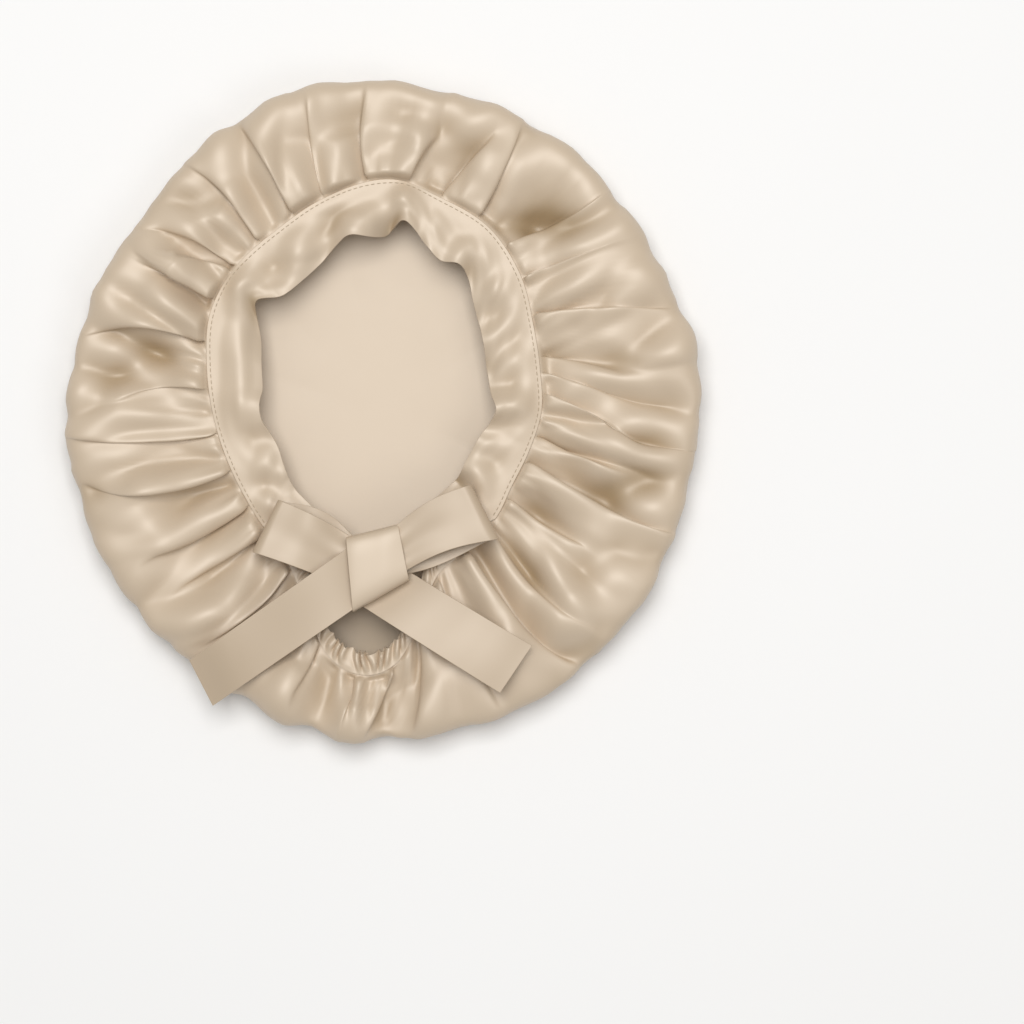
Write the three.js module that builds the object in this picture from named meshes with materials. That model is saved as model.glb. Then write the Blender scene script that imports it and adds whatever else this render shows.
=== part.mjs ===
// A satin sleep bonnet lying on its crown with the mouth up: one large round of cloth
// gathered in folds to a band, an elastic casing at the nape, and the band's two ends
// tied over the opening in a bow. Millimetres, +Z up. The origin is the middle of the
// flat underside, +Y points to the front of the head and -Y to the nape and the bow.
import * as THREE from "three";

// Cloth and ribbon
const CROWN_WALL = 1.5;
const BAND_WALL = 1.3;
const RIBBON_WALL = 1.2;
const SEAM_GAP = 0.5; // left between the crown and what is sewn to it
const BAND_WIDTH = 28; // of the flat strip, which also makes the bow

// Crown
const ROLL_DEPTH = 11; // half the width of the rounded rim, seen from above
const ROLL_SHARE = 0.42; // and no more than this share of the cloth ring
const ROLL_MIDDLE = 13; // height of the rim's widest place
const ROLL_SQUARE = 0.8; // power of the sine and cosine: 1 is an ellipse, less is squarer
const SEAM_LAP = 2.5; // the crown's edge runs this far under the band
const SEAM_CLEAR = 0.6; // and is flat from this far outside it
const FOLD_START = 7; // a fold reaches its full height this far from the seam
const CREASE_WIDTH = [1.8, 4]; // half width of a fold's step, at the seam and at its tip
const FOLD_SPREAD = [12, 20]; // how far a fold's raised side falls off, seam and tip
const SUNK_SPREAD = 0.65; // and its sunk side, as a share of that
const STAND = 0.55; // share of the step that stands up on the raised side
const DIVE = 0.9; // and that dives on the sunk side
const CROWN_COLUMNS = 120;
const BASE_RINGS = [0, 0.55, 1];
const ROLL_STEPS = 5;
const RING_STEPS = 7;

// Sections of the crown round the head, in degrees from +X: rim and edge are radii,
// top and edge_z are the heights of the cloth ring's crest and of its sewn edge.
const SECTIONS = [
  { at: 0, rim: 159, edge: 79.5, top: 32, edge_z: 23 },
  { at: 15, rim: 158, edge: 81.5, top: 32, edge_z: 23 },
  { at: 30, rim: 157, edge: 87, top: 32, edge_z: 23 },
  { at: 45, rim: 159, edge: 97, top: 33, edge_z: 24 },
  { at: 60, rim: 161.5, edge: 105.8, top: 33, edge_z: 24 },
  { at: 75, rim: 163, edge: 110.3, top: 33, edge_z: 24 },
  { at: 88, rim: 163.5, edge: 115.6, top: 33, edge_z: 24 },
  { at: 105, rim: 164.5, edge: 110.2, top: 33, edge_z: 24 },
  { at: 120, rim: 161.5, edge: 104.8, top: 33, edge_z: 24 },
  { at: 135, rim: 157, edge: 102.7, top: 33, edge_z: 24 },
  { at: 150, rim: 155.5, edge: 99.3, top: 33, edge_z: 24 },
  { at: 165, rim: 156, edge: 91.3, top: 32, edge_z: 23 },
  { at: 180, rim: 158.5, edge: 85.4, top: 32, edge_z: 23 },
  { at: 195, rim: 159.5, edge: 82.2, top: 32, edge_z: 23 },
  { at: 210, rim: 158.5, edge: 81.5, top: 31, edge_z: 22 },
  { at: 224, rim: 158, edge: 83.6, top: 30, edge_z: 21 },
  { at: 232, rim: 158.5, edge: 89, top: 30, edge_z: 20 },
  { at: 241, rim: 160, edge: 98, top: 30, edge_z: 20 },
  { at: 250, rim: 162, edge: 113, top: 29, edge_z: 20 },
  { at: 258, rim: 164.5, edge: 127, top: 28, edge_z: 20 },
  { at: 266, rim: 166, edge: 133, top: 28, edge_z: 20 },
  { at: 273, rim: 164.5, edge: 127, top: 28, edge_z: 20 },
  { at: 279, rim: 163.5, edge: 112, top: 29, edge_z: 20 },
  { at: 287, rim: 164.5, edge: 94, top: 30, edge_z: 20 },
  { at: 297, rim: 165, edge: 86, top: 30, edge_z: 20 },
  { at: 307, rim: 164, edge: 81.5, top: 30, edge_z: 20 },
  { at: 316, rim: 162.5, edge: 78.4, top: 31, edge_z: 21 },
  { at: 330, rim: 160, edge: 75, top: 32, edge_z: 22 },
  { at: 345, rim: 158, edge: 76.2, top: 32, edge_z: 23 },
];

// Folds of the crown: the angle of the crease at the seam, half way and at its tip, the
// radius that it reaches, and its step, which is raised on the clockwise side where above 0.
const FOLDS = [
  { at: 6, mid: -1, tip: -7.3, reach: 128, step: 4.5 },
  { at: 13.6, mid: 4.5, tip: 1, reach: 142, step: 4 },
  { at: 19, mid: 14, tip: 9.3, reach: 120, step: 4 },
  { at: 32.3, mid: 24.5, tip: 19.3, reach: 156, step: 5 },
  { at: 43.3, mid: 38.5, tip: 35.3, reach: 148, step: 4 },
  { at: 53.1, mid: 46.8, tip: 44.6, reach: 158, step: 6 },
  { at: 63.7, mid: 63.1, tip: 63.9, reach: 158, step: -5 },
  { at: 74.7, mid: 71, tip: 68.2, reach: 146, step: 5 },
  { at: 83.5, mid: 81.5, tip: 78.5, reach: 138, step: -4 },
  { at: 93.5, mid: 94.4, tip: 93.3, reach: 158, step: 6 },
  { at: 105.5, mid: 105.2, tip: 103.8, reach: 158, step: 4.5 },
  { at: 114.3, mid: 115.5, tip: 117.2, reach: 163, step: 5.5 },
  { at: 126.1, mid: 126.3, tip: 129.5, reach: 160, step: 6 },
  { at: 135.4, mid: 138.5, tip: 144.2, reach: 156, step: 5 },
  { at: 137.5, mid: 141.5, tip: 147, reach: 142, step: -4.5 },
  { at: 146.7, mid: 147.7, tip: 149, reach: 140, step: 6 },
  { at: 158.8, mid: 161, tip: 166.3, reach: 153, step: 6 },
  { at: 173.3, mid: 174.2, tip: 178.5, reach: 132, step: 4 },
  { at: 187.9, mid: 187.7, tip: 184.7, reach: 160, step: 5.5 },
  { at: 201.7, mid: 200.7, tip: 194.2, reach: 154, step: 5.5 },
  { at: 215.3, mid: 215.2, tip: 213, reach: 134, step: 5.5 },
  { at: 226.6, mid: 223.6, tip: 221.5, reach: 132, step: 5 },
  { at: 240, mid: 237, tip: 232, reach: 150, step: 4 },
  { at: 254.5, mid: 253.8, tip: 252.5, reach: 148, step: 4.5 },
  { at: 264, mid: 263.4, tip: 262.2, reach: 158, step: 3.5 },
  { at: 272.5, mid: 270.2, tip: 267, reach: 163, step: 4.5 },
  { at: 279.8, mid: 278.6, tip: 275.7, reach: 161, step: -4 },
  { at: 288, mid: 290, tip: 292, reach: 161, step: 3.5 },
  { at: 302.9, mid: 304.2, tip: 313.6, reach: 161, step: 7 },
  { at: 312.5, mid: 309, tip: 311.5, reach: 150, step: 3 },
  { at: 324.7, mid: 324.3, tip: 326, reach: 118, step: 6 },
  { at: 339.8, mid: 336.2, tip: 337.4, reach: 160, step: 7.5 },
  { at: 350.6, mid: 347.2, tip: 345.6, reach: 116, step: 4.5 },
];

// Soft dents between the folds: middle, half lengths along and across, the turn of the
// long axis from the radius, and how deep it is.
const DENTS = [
  { at: 83, out: 147, long: 20, wide: 9, turn: 75, deep: 4 },
  { at: 54, out: 123, long: 20, wide: 7, turn: -50, deep: 5 },
  { at: 41, out: 147, long: 14, wide: 7, turn: 10, deep: 2.5 },
  { at: 12, out: 119, long: 16, wide: 6, turn: -20, deep: 3 },
  { at: 132, out: 140, long: 18, wide: 6, turn: 35, deep: 3 },
  { at: 167, out: 115, long: 14, wide: 8, turn: -25, deep: 5 },
  { at: 175.5, out: 137, long: 20, wide: 7, turn: 50, deep: 3 },
  { at: 205, out: 116, long: 18, wide: 7, turn: 0, deep: 3 },
  { at: 316, out: 107, long: 15, wide: 9, turn: 0, deep: 4.5 },
  { at: 327, out: 131, long: 24, wide: 9, turn: 70, deep: 4 },
  { at: 344.5, out: 134, long: 26, wide: 8, turn: 25, deep: 5 },
  { at: 354.5, out: 131, long: 18, wide: 9, turn: 10, deep: 3.5 },
];

// Band: where it is sewn to the crown, and the waves of its free edge, each with the
// radius of the edge and its lift over the seam.
const BAND_FROM = -44;
const BAND_TO = 224;
const BAND_COLUMNS = 84;
const BAND_STEPS = 3;
const BAND_PUFF = 0.45; // share of the spare width that stands up as a billow
const WAVES = [
  { at: -44, mouth: 50.5, lift: 0 },
  { at: -30, mouth: 48.8, lift: 1 },
  { at: -15, mouth: 50.3, lift: -2 },
  { at: -8, mouth: 53.5, lift: 1 },
  { at: 0, mouth: 56.8, lift: 4 },
  { at: 8, mouth: 54.8, lift: 2 },
  { at: 20, mouth: 55.7, lift: 0 },
  { at: 30, mouth: 59, lift: -2 },
  { at: 42, mouth: 64.8, lift: -3 },
  { at: 51, mouth: 71.5, lift: -4 },
  { at: 57, mouth: 78.5, lift: 0 },
  { at: 62, mouth: 82.5, lift: 4 },
  { at: 69, mouth: 80, lift: 2 },
  { at: 76, mouth: 86.2, lift: 1 },
  { at: 81, mouth: 93, lift: 4 },
  { at: 84.5, mouth: 95.8, lift: 6 },
  { at: 88, mouth: 88, lift: -1 },
  { at: 94, mouth: 86.7, lift: 0 },
  { at: 101, mouth: 88.9, lift: 4 },
  { at: 106, mouth: 85.2, lift: 2 },
  { at: 113, mouth: 79.4, lift: -1 },
  { at: 124, mouth: 75.8, lift: -2 },
  { at: 132, mouth: 76, lift: 0 },
  { at: 136, mouth: 80.5, lift: 4 },
  { at: 139.5, mouth: 83.9, lift: 6 },
  { at: 144, mouth: 77.5, lift: 1 },
  { at: 150, mouth: 70.6, lift: -4 },
  { at: 160, mouth: 64.6, lift: -1 },
  { at: 170, mouth: 61, lift: 0 },
  { at: 177, mouth: 61.6, lift: 3 },
  { at: 185, mouth: 60.5, lift: 2 },
  { at: 192, mouth: 57.2, lift: 0 },
  { at: 200, mouth: 55.5, lift: 1 },
  { at: 210, mouth: 56.8, lift: -1 },
  { at: 224, mouth: 59.2, lift: 0 },
];
const TIE_STEPS = 5; // of each band end, from the seam's end to the knot
const TIE_Z = 24.2;

// Elastic casing at the nape
const CASING_FROM = 235;
const CASING_TO = 303;
const CASING_WIDTH = 11;
const CASING_COLUMNS = 66;
const CASING_STEPS = 2;
const CASING_DROP = 1.2; // the elastic edge hangs this far under the seam
const RIPPLE_LENGTH = 9;
const RIPPLE_HEIGHT = 0.8;

// Bow, by the corners of its flat pieces seen from above
const KNOT = {
  left_top: [-18, -63.5],
  right_top: [8, -57],
  right_low: [13.5, -85],
  left_low: [-14.5, -101],
  middle_z: 29,
  half_height: 7.6,
  squareness: 2.6,
  round: 20,
  steps: 4,
};
const SIDE_GAP = 0.4; // between the knot's sides and the band ends
const LEFT_LOOP = {
  near: [[-18.4, -64.5], [-15.5, -95]],
  far: [[-51.5, -45], [-64.5, -71]],
  back_shift: [1.5, 3.5],
  near_z: [26.6, 31.2],
  far_z: [26.4, 34.4],
};
const RIGHT_LOOP = {
  near: [[8.8, -58.6], [13.9, -84]],
  far: [[44, -37.5], [58, -64.5]],
  back_shift: [-1, -6],
  near_z: [27.6, 34],
  far_z: [26.8, 36.4],
};
const LEFT_TAIL = {
  near: [[-18, -69], [-15.1, -100]],
  far: [[-96.2, -125], [-85, -148]],
  heights: [
    { along: 0, z: 34.6 },
    { along: 0.35, z: 35.6 },
    { along: 0.75, z: 34.6 },
    { along: 1, z: 30 },
  ],
};
const RIGHT_TAIL = {
  near: [[16, -84.2], [-11, -99.2]],
  far: [[74.7, -117.5], [58.8, -141]],
  heights: [
    { along: 0, z: 25 },
    { along: 0.25, z: 31.5 },
    { along: 0.6, z: 35 },
    { along: 1, z: 34.6 },
  ],
};
const LOOP_STEPS = 7;
const BEND_STEPS = 6;
const TAIL_STEPS = 10;
const RIBBON_ACROSS = 2;

const SATIN = { color: 0xd9c8af, roughness: 0.38, metalness: 0 };

const radians = THREE.MathUtils.degToRad;
const lerp = THREE.MathUtils.lerp;
const clamp01 = (x) => THREE.MathUtils.clamp(x, 0, 1);
const smooth = (x) => clamp01(x) ** 2 * (3 - 2 * clamp01(x));

// The cubic through a table's rows: value of a column at x, with slopes from the
// neighbouring rows. A period joins the last row to the first.
function readTable(rows, key, column, x, period = 0) {
  const count = rows.length;
  const row = (i) => {
    const turns = period ? Math.floor(i / count) : 0;
    const k = period ? i - turns * count : THREE.MathUtils.clamp(i, 0, count - 1);
    return { x: rows[k][key] + turns * period, y: rows[k][column] };
  };
  const first = rows[0][key];
  const place = period ? first + THREE.MathUtils.euclideanModulo(x - first, period) : x;
  let i = 0;
  while (i < count - (period ? 1 : 2) && row(i + 1).x <= place) i += 1;
  const [a, b, c, d] = [row(i - 1), row(i), row(i + 1), row(i + 2)];
  const span = c.x - b.x;
  const slope = (p, q, r) => (r.x === p.x ? 0 : (r.y - p.y) / (r.x - p.x)) * span;
  const t = clamp01((place - b.x) / span);
  const [from, to] = [slope(a, b, c), slope(b, c, d)];
  return (
    b.y * (1 + 2 * t) * (1 - t) ** 2 + from * t * (1 - t) ** 2 +
    c.y * t * t * (3 - 2 * t) - to * t * t * (1 - t)
  );
}

const section = (column, degrees) => readTable(SECTIONS, "at", column, degrees, 360);
const polar = (degrees, radius, z) =>
  new THREE.Vector3(
    radius * Math.cos(radians(degrees)),
    radius * Math.sin(radians(degrees)),
    z,
  );
const turnBetween = (a, b) => THREE.MathUtils.euclideanModulo(a - b + 180, 360) - 180;

// The height that the folds add at a place on the crown. A fold is a pleat laid over the
// next: it stands up on one side of its crease and falls off slowly, and dives on the
// other and comes back sooner. It grows from the seam and fades before its tip.
function foldHeight(degrees, radius) {
  let height = 0;
  const edge = section("edge", degrees);
  for (const fold of FOLDS) {
    const start = section("edge", fold.at);
    const along = clamp01((radius - start) / (fold.reach - start));
    const crease =
      fold.at * (1 - along) * (1 - 2 * along) + 4 * fold.mid * along * (1 - along) +
      fold.tip * along * (2 * along - 1);
    const off = -radians(turnBetween(degrees, crease)) * radius * Math.sign(fold.step);
    const spread = lerp(...FOLD_SPREAD, along);
    const fade = (1 - 0.35 * along) * (1 - smooth((radius - fold.reach + 10) / 24));
    const side = Math.tanh(off / lerp(...CREASE_WIDTH, along));
    const up = 0.5 * (1 + side) * STAND * Math.exp(-Math.abs(off) / spread);
    const down = 0.5 * (1 - side) * DIVE * Math.exp(-Math.abs(off) / (SUNK_SPREAD * spread));
    height += Math.abs(fold.step) * fade * (up - down);
  }
  for (const dent of DENTS) {
    const turn = radians(dent.turn);
    const out = radius - dent.out;
    const round = radians(turnBetween(degrees, dent.at)) * radius;
    const long = out * Math.cos(turn) + round * Math.sin(turn);
    const wide = round * Math.cos(turn) - out * Math.sin(turn);
    height -= dent.deep * Math.exp(-((long / dent.long) ** 2) - (wide / dent.wide) ** 2);
  }
  return height * smooth((radius - edge - SEAM_CLEAR) / FOLD_START);
}

// A place on the crown's outer face and the way out of it. Station 0 to 1 is the flat
// round, 1 to 2 the rolled rim from the floor over its widest place, 2 to 3 the gathered
// ring from the rim's crest to the seam, and 3 to 4 the flat lap under the band.
function crownPlace(degrees, station) {
  const [rim, edge, top, edgeZ] = ["rim", "edge", "top", "edge_z"].map((c) => section(c, degrees));
  const roll = Math.min(ROLL_DEPTH, ROLL_SHARE * (rim - edge));
  const turnIn = rim - roll;
  let radius = turnIn * station;
  let z = 0;
  let out = 0;
  let up = -1;
  let share = 0;
  if (station > 3) {
    radius = lerp(edge + SEAM_CLEAR, edge - SEAM_LAP, station - 3);
    z = edgeZ;
    up = 1;
  } else if (station > 2) {
    const end = edge + SEAM_CLEAR;
    const t = station - 2;
    radius = lerp(turnIn, end, t);
    z = lerp(top, edgeZ, smooth(t));
    const slope = ((edgeZ - top) * 6 * t * (1 - t)) / (end - turnIn);
    [out, up] = [-slope / Math.hypot(slope, 1), 1 / Math.hypot(slope, 1)];
    share = 1;
  } else if (station > 1) {
    const lean = Math.PI * (station - 1.5);
    const tall = lean < 0 ? ROLL_MIDDLE : top - ROLL_MIDDLE;
    const bent = (x) => Math.sign(x) * Math.abs(x) ** ROLL_SQUARE;
    radius = turnIn + roll * bent(Math.cos(lean));
    z = ROLL_MIDDLE + tall * bent(Math.sin(lean));
    [out, up] = [Math.cos(lean) / roll, Math.sin(lean) / tall];
    const length = Math.hypot(out, up);
    [out, up] = [out / length, up / length];
    share = smooth((station - 1.25) / 0.75);
  }
  const rise = share ? share * foldHeight(degrees, radius) : 0;
  return {
    place: polar(degrees, radius + out * rise, z + up * rise),
    way: polar(degrees, out, up),
  };
}

// Triangles of a grid of points, rows of equal length, as places in one list.
function gridFaces(rows, columns, at, flip, closed) {
  const faces = [];
  const last = closed ? columns : columns - 1;
  for (let i = 0; i < rows - 1; i += 1) {
    for (let j = 0; j < last; j += 1) {
      const k = (j + 1) % columns;
      const [a, b, c, d] = [at(i, j), at(i, k), at(i + 1, k), at(i + 1, j)];
      faces.push(...(flip ? [a, c, b, a, d, c] : [a, b, c, a, c, d]));
    }
  }
  return faces;
}

function solidOf(name, points, faces) {
  const geometry = new THREE.BufferGeometry();
  geometry.setAttribute(
    "position",
    new THREE.Float32BufferAttribute(points.flatMap((p) => p.toArray()), 3),
  );
  geometry.setIndex(faces);
  geometry.computeVertexNormals();
  const mesh = new THREE.Mesh(geometry, new THREE.MeshStandardMaterial(SATIN));
  mesh.name = name;
  return mesh;
}

// A strip of cloth: its middle surface is a grid of points, rows along and columns
// across, and it gets half of the wall on each side and a rim all round.
function stripSolid(name, grid, wall) {
  const [rows, columns] = [grid.length, grid[0].length];
  const within = (i, count) => THREE.MathUtils.clamp(i, 0, count - 1);
  const side = (i, j) => grid[within(i, rows)][within(j, columns)];
  const skin = (half) =>
    grid.flatMap((row, i) =>
      row.map((point, j) => {
        const along = side(i + 1, j).clone().sub(side(i - 1, j));
        const across = side(i, j + 1).clone().sub(side(i, j - 1));
        return point.clone().addScaledVector(along.cross(across).normalize(), half);
      }),
    );
  const front = (i, j) => i * columns + j;
  const back = (i, j) => rows * columns + front(i, j);
  const faces = [
    ...gridFaces(rows, columns, front, true, false),
    ...gridFaces(rows, columns, back, false, false),
  ];
  const rim = [];
  for (let j = 0; j < columns - 1; j += 1) rim.push([0, j]);
  for (let i = 0; i < rows - 1; i += 1) rim.push([i, columns - 1]);
  for (let j = columns - 1; j > 0; j -= 1) rim.push([rows - 1, j]);
  for (let i = rows - 1; i > 0; i -= 1) rim.push([i, 0]);
  rim.forEach(([i, j], k) => {
    const [m, n] = rim[(k + 1) % rim.length];
    faces.push(front(i, j), front(m, n), back(m, n), front(i, j), back(m, n), back(i, j));
  });
  return solidOf(name, [...skin(wall / 2), ...skin(-wall / 2)], faces);
}

// The crown: an outer and an inner skin from the middle of the flat round to the edge.
function makeCrown() {
  const stations = [
    ...BASE_RINGS,
    ...Array.from({ length: ROLL_STEPS }, (_, k) => 1 + (k + 1) / ROLL_STEPS),
    ...Array.from({ length: RING_STEPS }, (_, k) => 2 + (k + 1) / RING_STEPS),
    4,
  ].slice(1);
  const points = [];
  for (const wall of [0, CROWN_WALL]) {
    points.push(new THREE.Vector3(0, 0, wall));
    for (const station of stations) {
      for (let k = 0; k < CROWN_COLUMNS; k += 1) {
        const { place, way } = crownPlace((360 * k) / CROWN_COLUMNS, station);
        points.push(place.addScaledVector(way, -wall));
      }
    }
  }
  const skin = 1 + stations.length * CROWN_COLUMNS;
  const outer = (i, j) => 1 + i * CROWN_COLUMNS + j;
  const inner = (i, j) => skin + outer(i, j);
  const faces = [
    ...gridFaces(stations.length, CROWN_COLUMNS, outer, false, true),
    ...gridFaces(stations.length, CROWN_COLUMNS, inner, true, true),
  ];
  const last = stations.length - 1;
  for (let j = 0; j < CROWN_COLUMNS; j += 1) {
    const k = (j + 1) % CROWN_COLUMNS;
    faces.push(0, outer(0, k), outer(0, j), skin, inner(0, j), inner(0, k));
    faces.push(outer(last, j), outer(last, k), inner(last, k));
    faces.push(outer(last, j), inner(last, k), inner(last, j));
  }
  return solidOf("crown", points, faces);
}

// One row of points across the band, from its sewn edge to its free edge. The width that
// the plan doesn't use stands up in the middle as a flat arc.
function bandRow(degrees) {
  const edge = section("edge", degrees);
  const mouth = readTable(WAVES, "at", "mouth", degrees);
  const lift = readTable(WAVES, "at", "lift", degrees);
  const foot = section("edge_z", degrees) + SEAM_GAP + BAND_WALL / 2;
  const spare = Math.max(0, BAND_WIDTH - (edge - mouth));
  const puff = BAND_PUFF * Math.sqrt(0.375 * (edge - mouth) * spare);
  return Array.from({ length: BAND_STEPS + 1 }, (_, k) => {
    const v = k / BAND_STEPS;
    const z = foot + lift * v ** 1.5 + puff * Math.sin(Math.PI * v);
    return polar(degrees, lerp(edge, mouth, v), z);
  });
}

// A band end, running on from the last sewn row to the side of the knot.
function tieRows(from, knotTop, knotLow) {
  return Array.from({ length: TIE_STEPS }, (_, n) => {
    const u = (n + 1) / TIE_STEPS;
    return from.map((point, k) => {
      const v = k / BAND_STEPS;
      const end = new THREE.Vector3(
        lerp(knotLow[0], knotTop[0], v),
        lerp(knotLow[1], knotTop[1], v),
        TIE_Z,
      );
      const there = point.clone().lerp(end, u);
      there.z = lerp(point.z, TIE_Z, smooth(2 * u));
      return there;
    });
  });
}

function makeBand() {
  const sewn = Array.from({ length: BAND_COLUMNS + 1 }, (_, k) =>
    bandRow(lerp(BAND_FROM, BAND_TO, k / BAND_COLUMNS)),
  );
  const right = tieRows(
    sewn[0],
    [KNOT.right_top[0] + 4 * SIDE_GAP, KNOT.right_top[1] - 4],
    [KNOT.right_low[0] + SIDE_GAP, KNOT.right_low[1] + 4],
  );
  const left = tieRows(
    sewn.at(-1),
    [KNOT.left_top[0] - SIDE_GAP, KNOT.left_top[1] - 5],
    [KNOT.left_low[0] - 3 * SIDE_GAP, KNOT.left_low[1] + 9],
  );
  return stripSolid("band", [...right.reverse(), ...sewn, ...left], BAND_WALL);
}

// The casing: a narrow strip on the crown's edge, drawn up by its elastic into ripples.
function makeCasing() {
  let run = 0;
  const rows = Array.from({ length: CASING_COLUMNS + 1 }, (_, k) => {
    const degrees = lerp(CASING_FROM, CASING_TO, k / CASING_COLUMNS);
    const edge = section("edge", degrees);
    run += (radians(CASING_TO - CASING_FROM) * edge) / CASING_COLUMNS;
    const ripple = RIPPLE_HEIGHT * Math.sin((2 * Math.PI * run) / RIPPLE_LENGTH);
    return Array.from({ length: CASING_STEPS + 1 }, (_, n) => {
      const v = n / CASING_STEPS;
      const foot = section("edge_z", degrees) + SEAM_GAP + BAND_WALL / 2;
      const z = foot + (ripple + RIPPLE_HEIGHT) * v - CASING_DROP * v * v;
      return polar(degrees, edge - CASING_WIDTH * v, z);
    });
  });
  return stripSolid("elastic_casing", rows, BAND_WALL);
}

// The knot: a rounded sleeve of ribbon, lofted from its left side to its right side.
function makeKnot() {
  const points = [];
  for (let n = 0; n <= KNOT.steps; n += 1) {
    const u = n / KNOT.steps;
    const at = (a, b, k) => lerp(KNOT[a][k], KNOT[b][k], u);
    const top = [at("left_top", "right_top", 0), at("left_top", "right_top", 1)];
    const low = [at("left_low", "right_low", 0), at("left_low", "right_low", 1)];
    for (let k = 0; k < KNOT.round; k += 1) {
      const turn = (2 * Math.PI * k) / KNOT.round;
      const rounded = (x) => Math.sign(x) * Math.abs(x) ** (2 / KNOT.squareness);
      const v = 0.5 - 0.5 * rounded(Math.cos(turn));
      const z = KNOT.middle_z + KNOT.half_height * rounded(Math.sin(turn));
      points.push(new THREE.Vector3(lerp(top[0], low[0], v), lerp(top[1], low[1], v), z));
    }
  }
  const at = (i, j) => i * KNOT.round + j;
  const faces = gridFaces(KNOT.steps + 1, KNOT.round, at, false, true);
  for (let k = 1; k < KNOT.round - 1; k += 1) {
    faces.push(at(0, 0), at(0, k + 1), at(0, k));
    faces.push(at(KNOT.steps, 0), at(KNOT.steps, k), at(KNOT.steps, k + 1));
  }
  return solidOf("bow_knot", points, faces);
}

// A row of points across a ribbon between the plan's two sides, a share of the way along.
function ribbonRow({ near, far }, along, z, shift = [0, 0]) {
  return Array.from({ length: RIBBON_ACROSS + 1 }, (_, k) => {
    const v = k / RIBBON_ACROSS;
    const [a, b] = [0, 1].map((axis) =>
      lerp(lerp(near[0][axis], near[1][axis], v), lerp(far[0][axis], far[1][axis], v), along),
    );
    return new THREE.Vector3(a + shift[0], b + shift[1], z);
  });
}

// A loop: out from the knot on top, round the bend, and back under it.
function makeLoop(name, loop) {
  const near = new THREE.Vector2(...loop.near[0]).add(new THREE.Vector2(...loop.near[1]));
  const far = new THREE.Vector2(...loop.far[0]).add(new THREE.Vector2(...loop.far[1]));
  const length = near.distanceTo(far) / 2;
  const [lowNear, highNear] = loop.near_z;
  const [lowFar, highFar] = loop.far_z;
  const bend = (highFar - lowFar) / 2;
  const straight = 1 - bend / length;
  const rows = [];
  for (let k = 0; k < LOOP_STEPS; k += 1) {
    const u = k / LOOP_STEPS;
    rows.push(ribbonRow(loop, straight * u, lerp(highNear, highFar, smooth(1.4 * u))));
  }
  for (let k = 0; k <= BEND_STEPS; k += 1) {
    const turn = (Math.PI * k) / BEND_STEPS;
    const along = straight + (bend / length) * Math.sin(turn);
    rows.push(ribbonRow(loop, along, (highFar + lowFar) / 2 + bend * Math.cos(turn)));
  }
  for (let k = LOOP_STEPS - 1; k >= 0; k -= 1) {
    const u = k / LOOP_STEPS;
    const share = Math.sin(Math.PI * u);
    const shift = loop.back_shift.map((s) => s * share);
    rows.push(ribbonRow(loop, straight * u, lerp(lowNear, lowFar, smooth(1.4 * u)), shift));
  }
  return stripSolid(name, rows, RIBBON_WALL);
}

// A tail: a flat end of ribbon from the knot over the folds of the crown.
function makeTail(name, tail) {
  const rows = Array.from({ length: TAIL_STEPS + 1 }, (_, k) => {
    const along = k / TAIL_STEPS;
    return ribbonRow(tail, along, readTable(tail.heights, "along", "z", along));
  });
  return stripSolid(name, rows, RIBBON_WALL);
}

const bonnet = new THREE.Group();
bonnet.add(
  makeCrown(),
  makeBand(),
  makeCasing(),
  makeKnot(),
  makeLoop("bow_loop_left", LEFT_LOOP),
  makeLoop("bow_loop_right", RIGHT_LOOP),
  makeTail("bow_tail_left", LEFT_TAIL),
  makeTail("bow_tail_right", RIGHT_TAIL),
);

export default bonnet;
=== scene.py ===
"""A satin sleep bonnet lying on its crown with the mouth up.

The crown is one large round of satin gathered in folds to a doubled, topstitched band.
The band's ends run under the bow, and between them the crown's edge is drawn up by a
short elastic casing at the nape. Lengths are in millimetres until a mesh is made, and in
metres there. Angles are in degrees round the head from +X, anticlockwise from above.
"""

import logging
import math
from dataclasses import dataclass, field
from enum import Enum
from typing import NamedTuple, Sequence

import bpy
import numpy as np
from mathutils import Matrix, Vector

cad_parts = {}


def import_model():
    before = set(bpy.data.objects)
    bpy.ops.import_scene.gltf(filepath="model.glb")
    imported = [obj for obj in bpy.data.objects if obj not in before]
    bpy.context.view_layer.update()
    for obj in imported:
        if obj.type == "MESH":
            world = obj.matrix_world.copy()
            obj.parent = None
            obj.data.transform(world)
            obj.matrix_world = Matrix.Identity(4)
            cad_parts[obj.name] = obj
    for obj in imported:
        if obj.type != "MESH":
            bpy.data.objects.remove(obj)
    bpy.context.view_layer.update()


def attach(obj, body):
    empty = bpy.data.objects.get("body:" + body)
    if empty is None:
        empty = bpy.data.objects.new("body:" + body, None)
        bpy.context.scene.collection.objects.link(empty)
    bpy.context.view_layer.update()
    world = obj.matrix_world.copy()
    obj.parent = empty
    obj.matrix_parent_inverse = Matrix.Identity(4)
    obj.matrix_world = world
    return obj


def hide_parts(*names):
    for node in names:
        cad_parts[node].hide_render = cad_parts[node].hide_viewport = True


log = logging.getLogger("sleep bonnet")

Number = float | np.ndarray
Pair = tuple[float, float]
Span = tuple[float, float, float, float]
Triple = tuple[float, float, float]

MM = 0.001
FRAME_PIXELS = 1024
FULL_TURN = 2 * math.pi

# The angle of the nape's middle.
NAPE = 266

# Stations along the crown's section: the ends of the flat round, of the rim's under half,
# of its upper half, of the gathered ring and of the lap under the band.
FLAT, WIDEST, CREST, SEAM, LAP = 1.0, 1.5, 2.0, 3.0, 4.0


class Slot(Enum):
    """The record's finishes that the pieces take."""

    CROWN = "crown_satin"
    BAND = "band_satin"
    RIBBON = "ribbon_satin"


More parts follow.
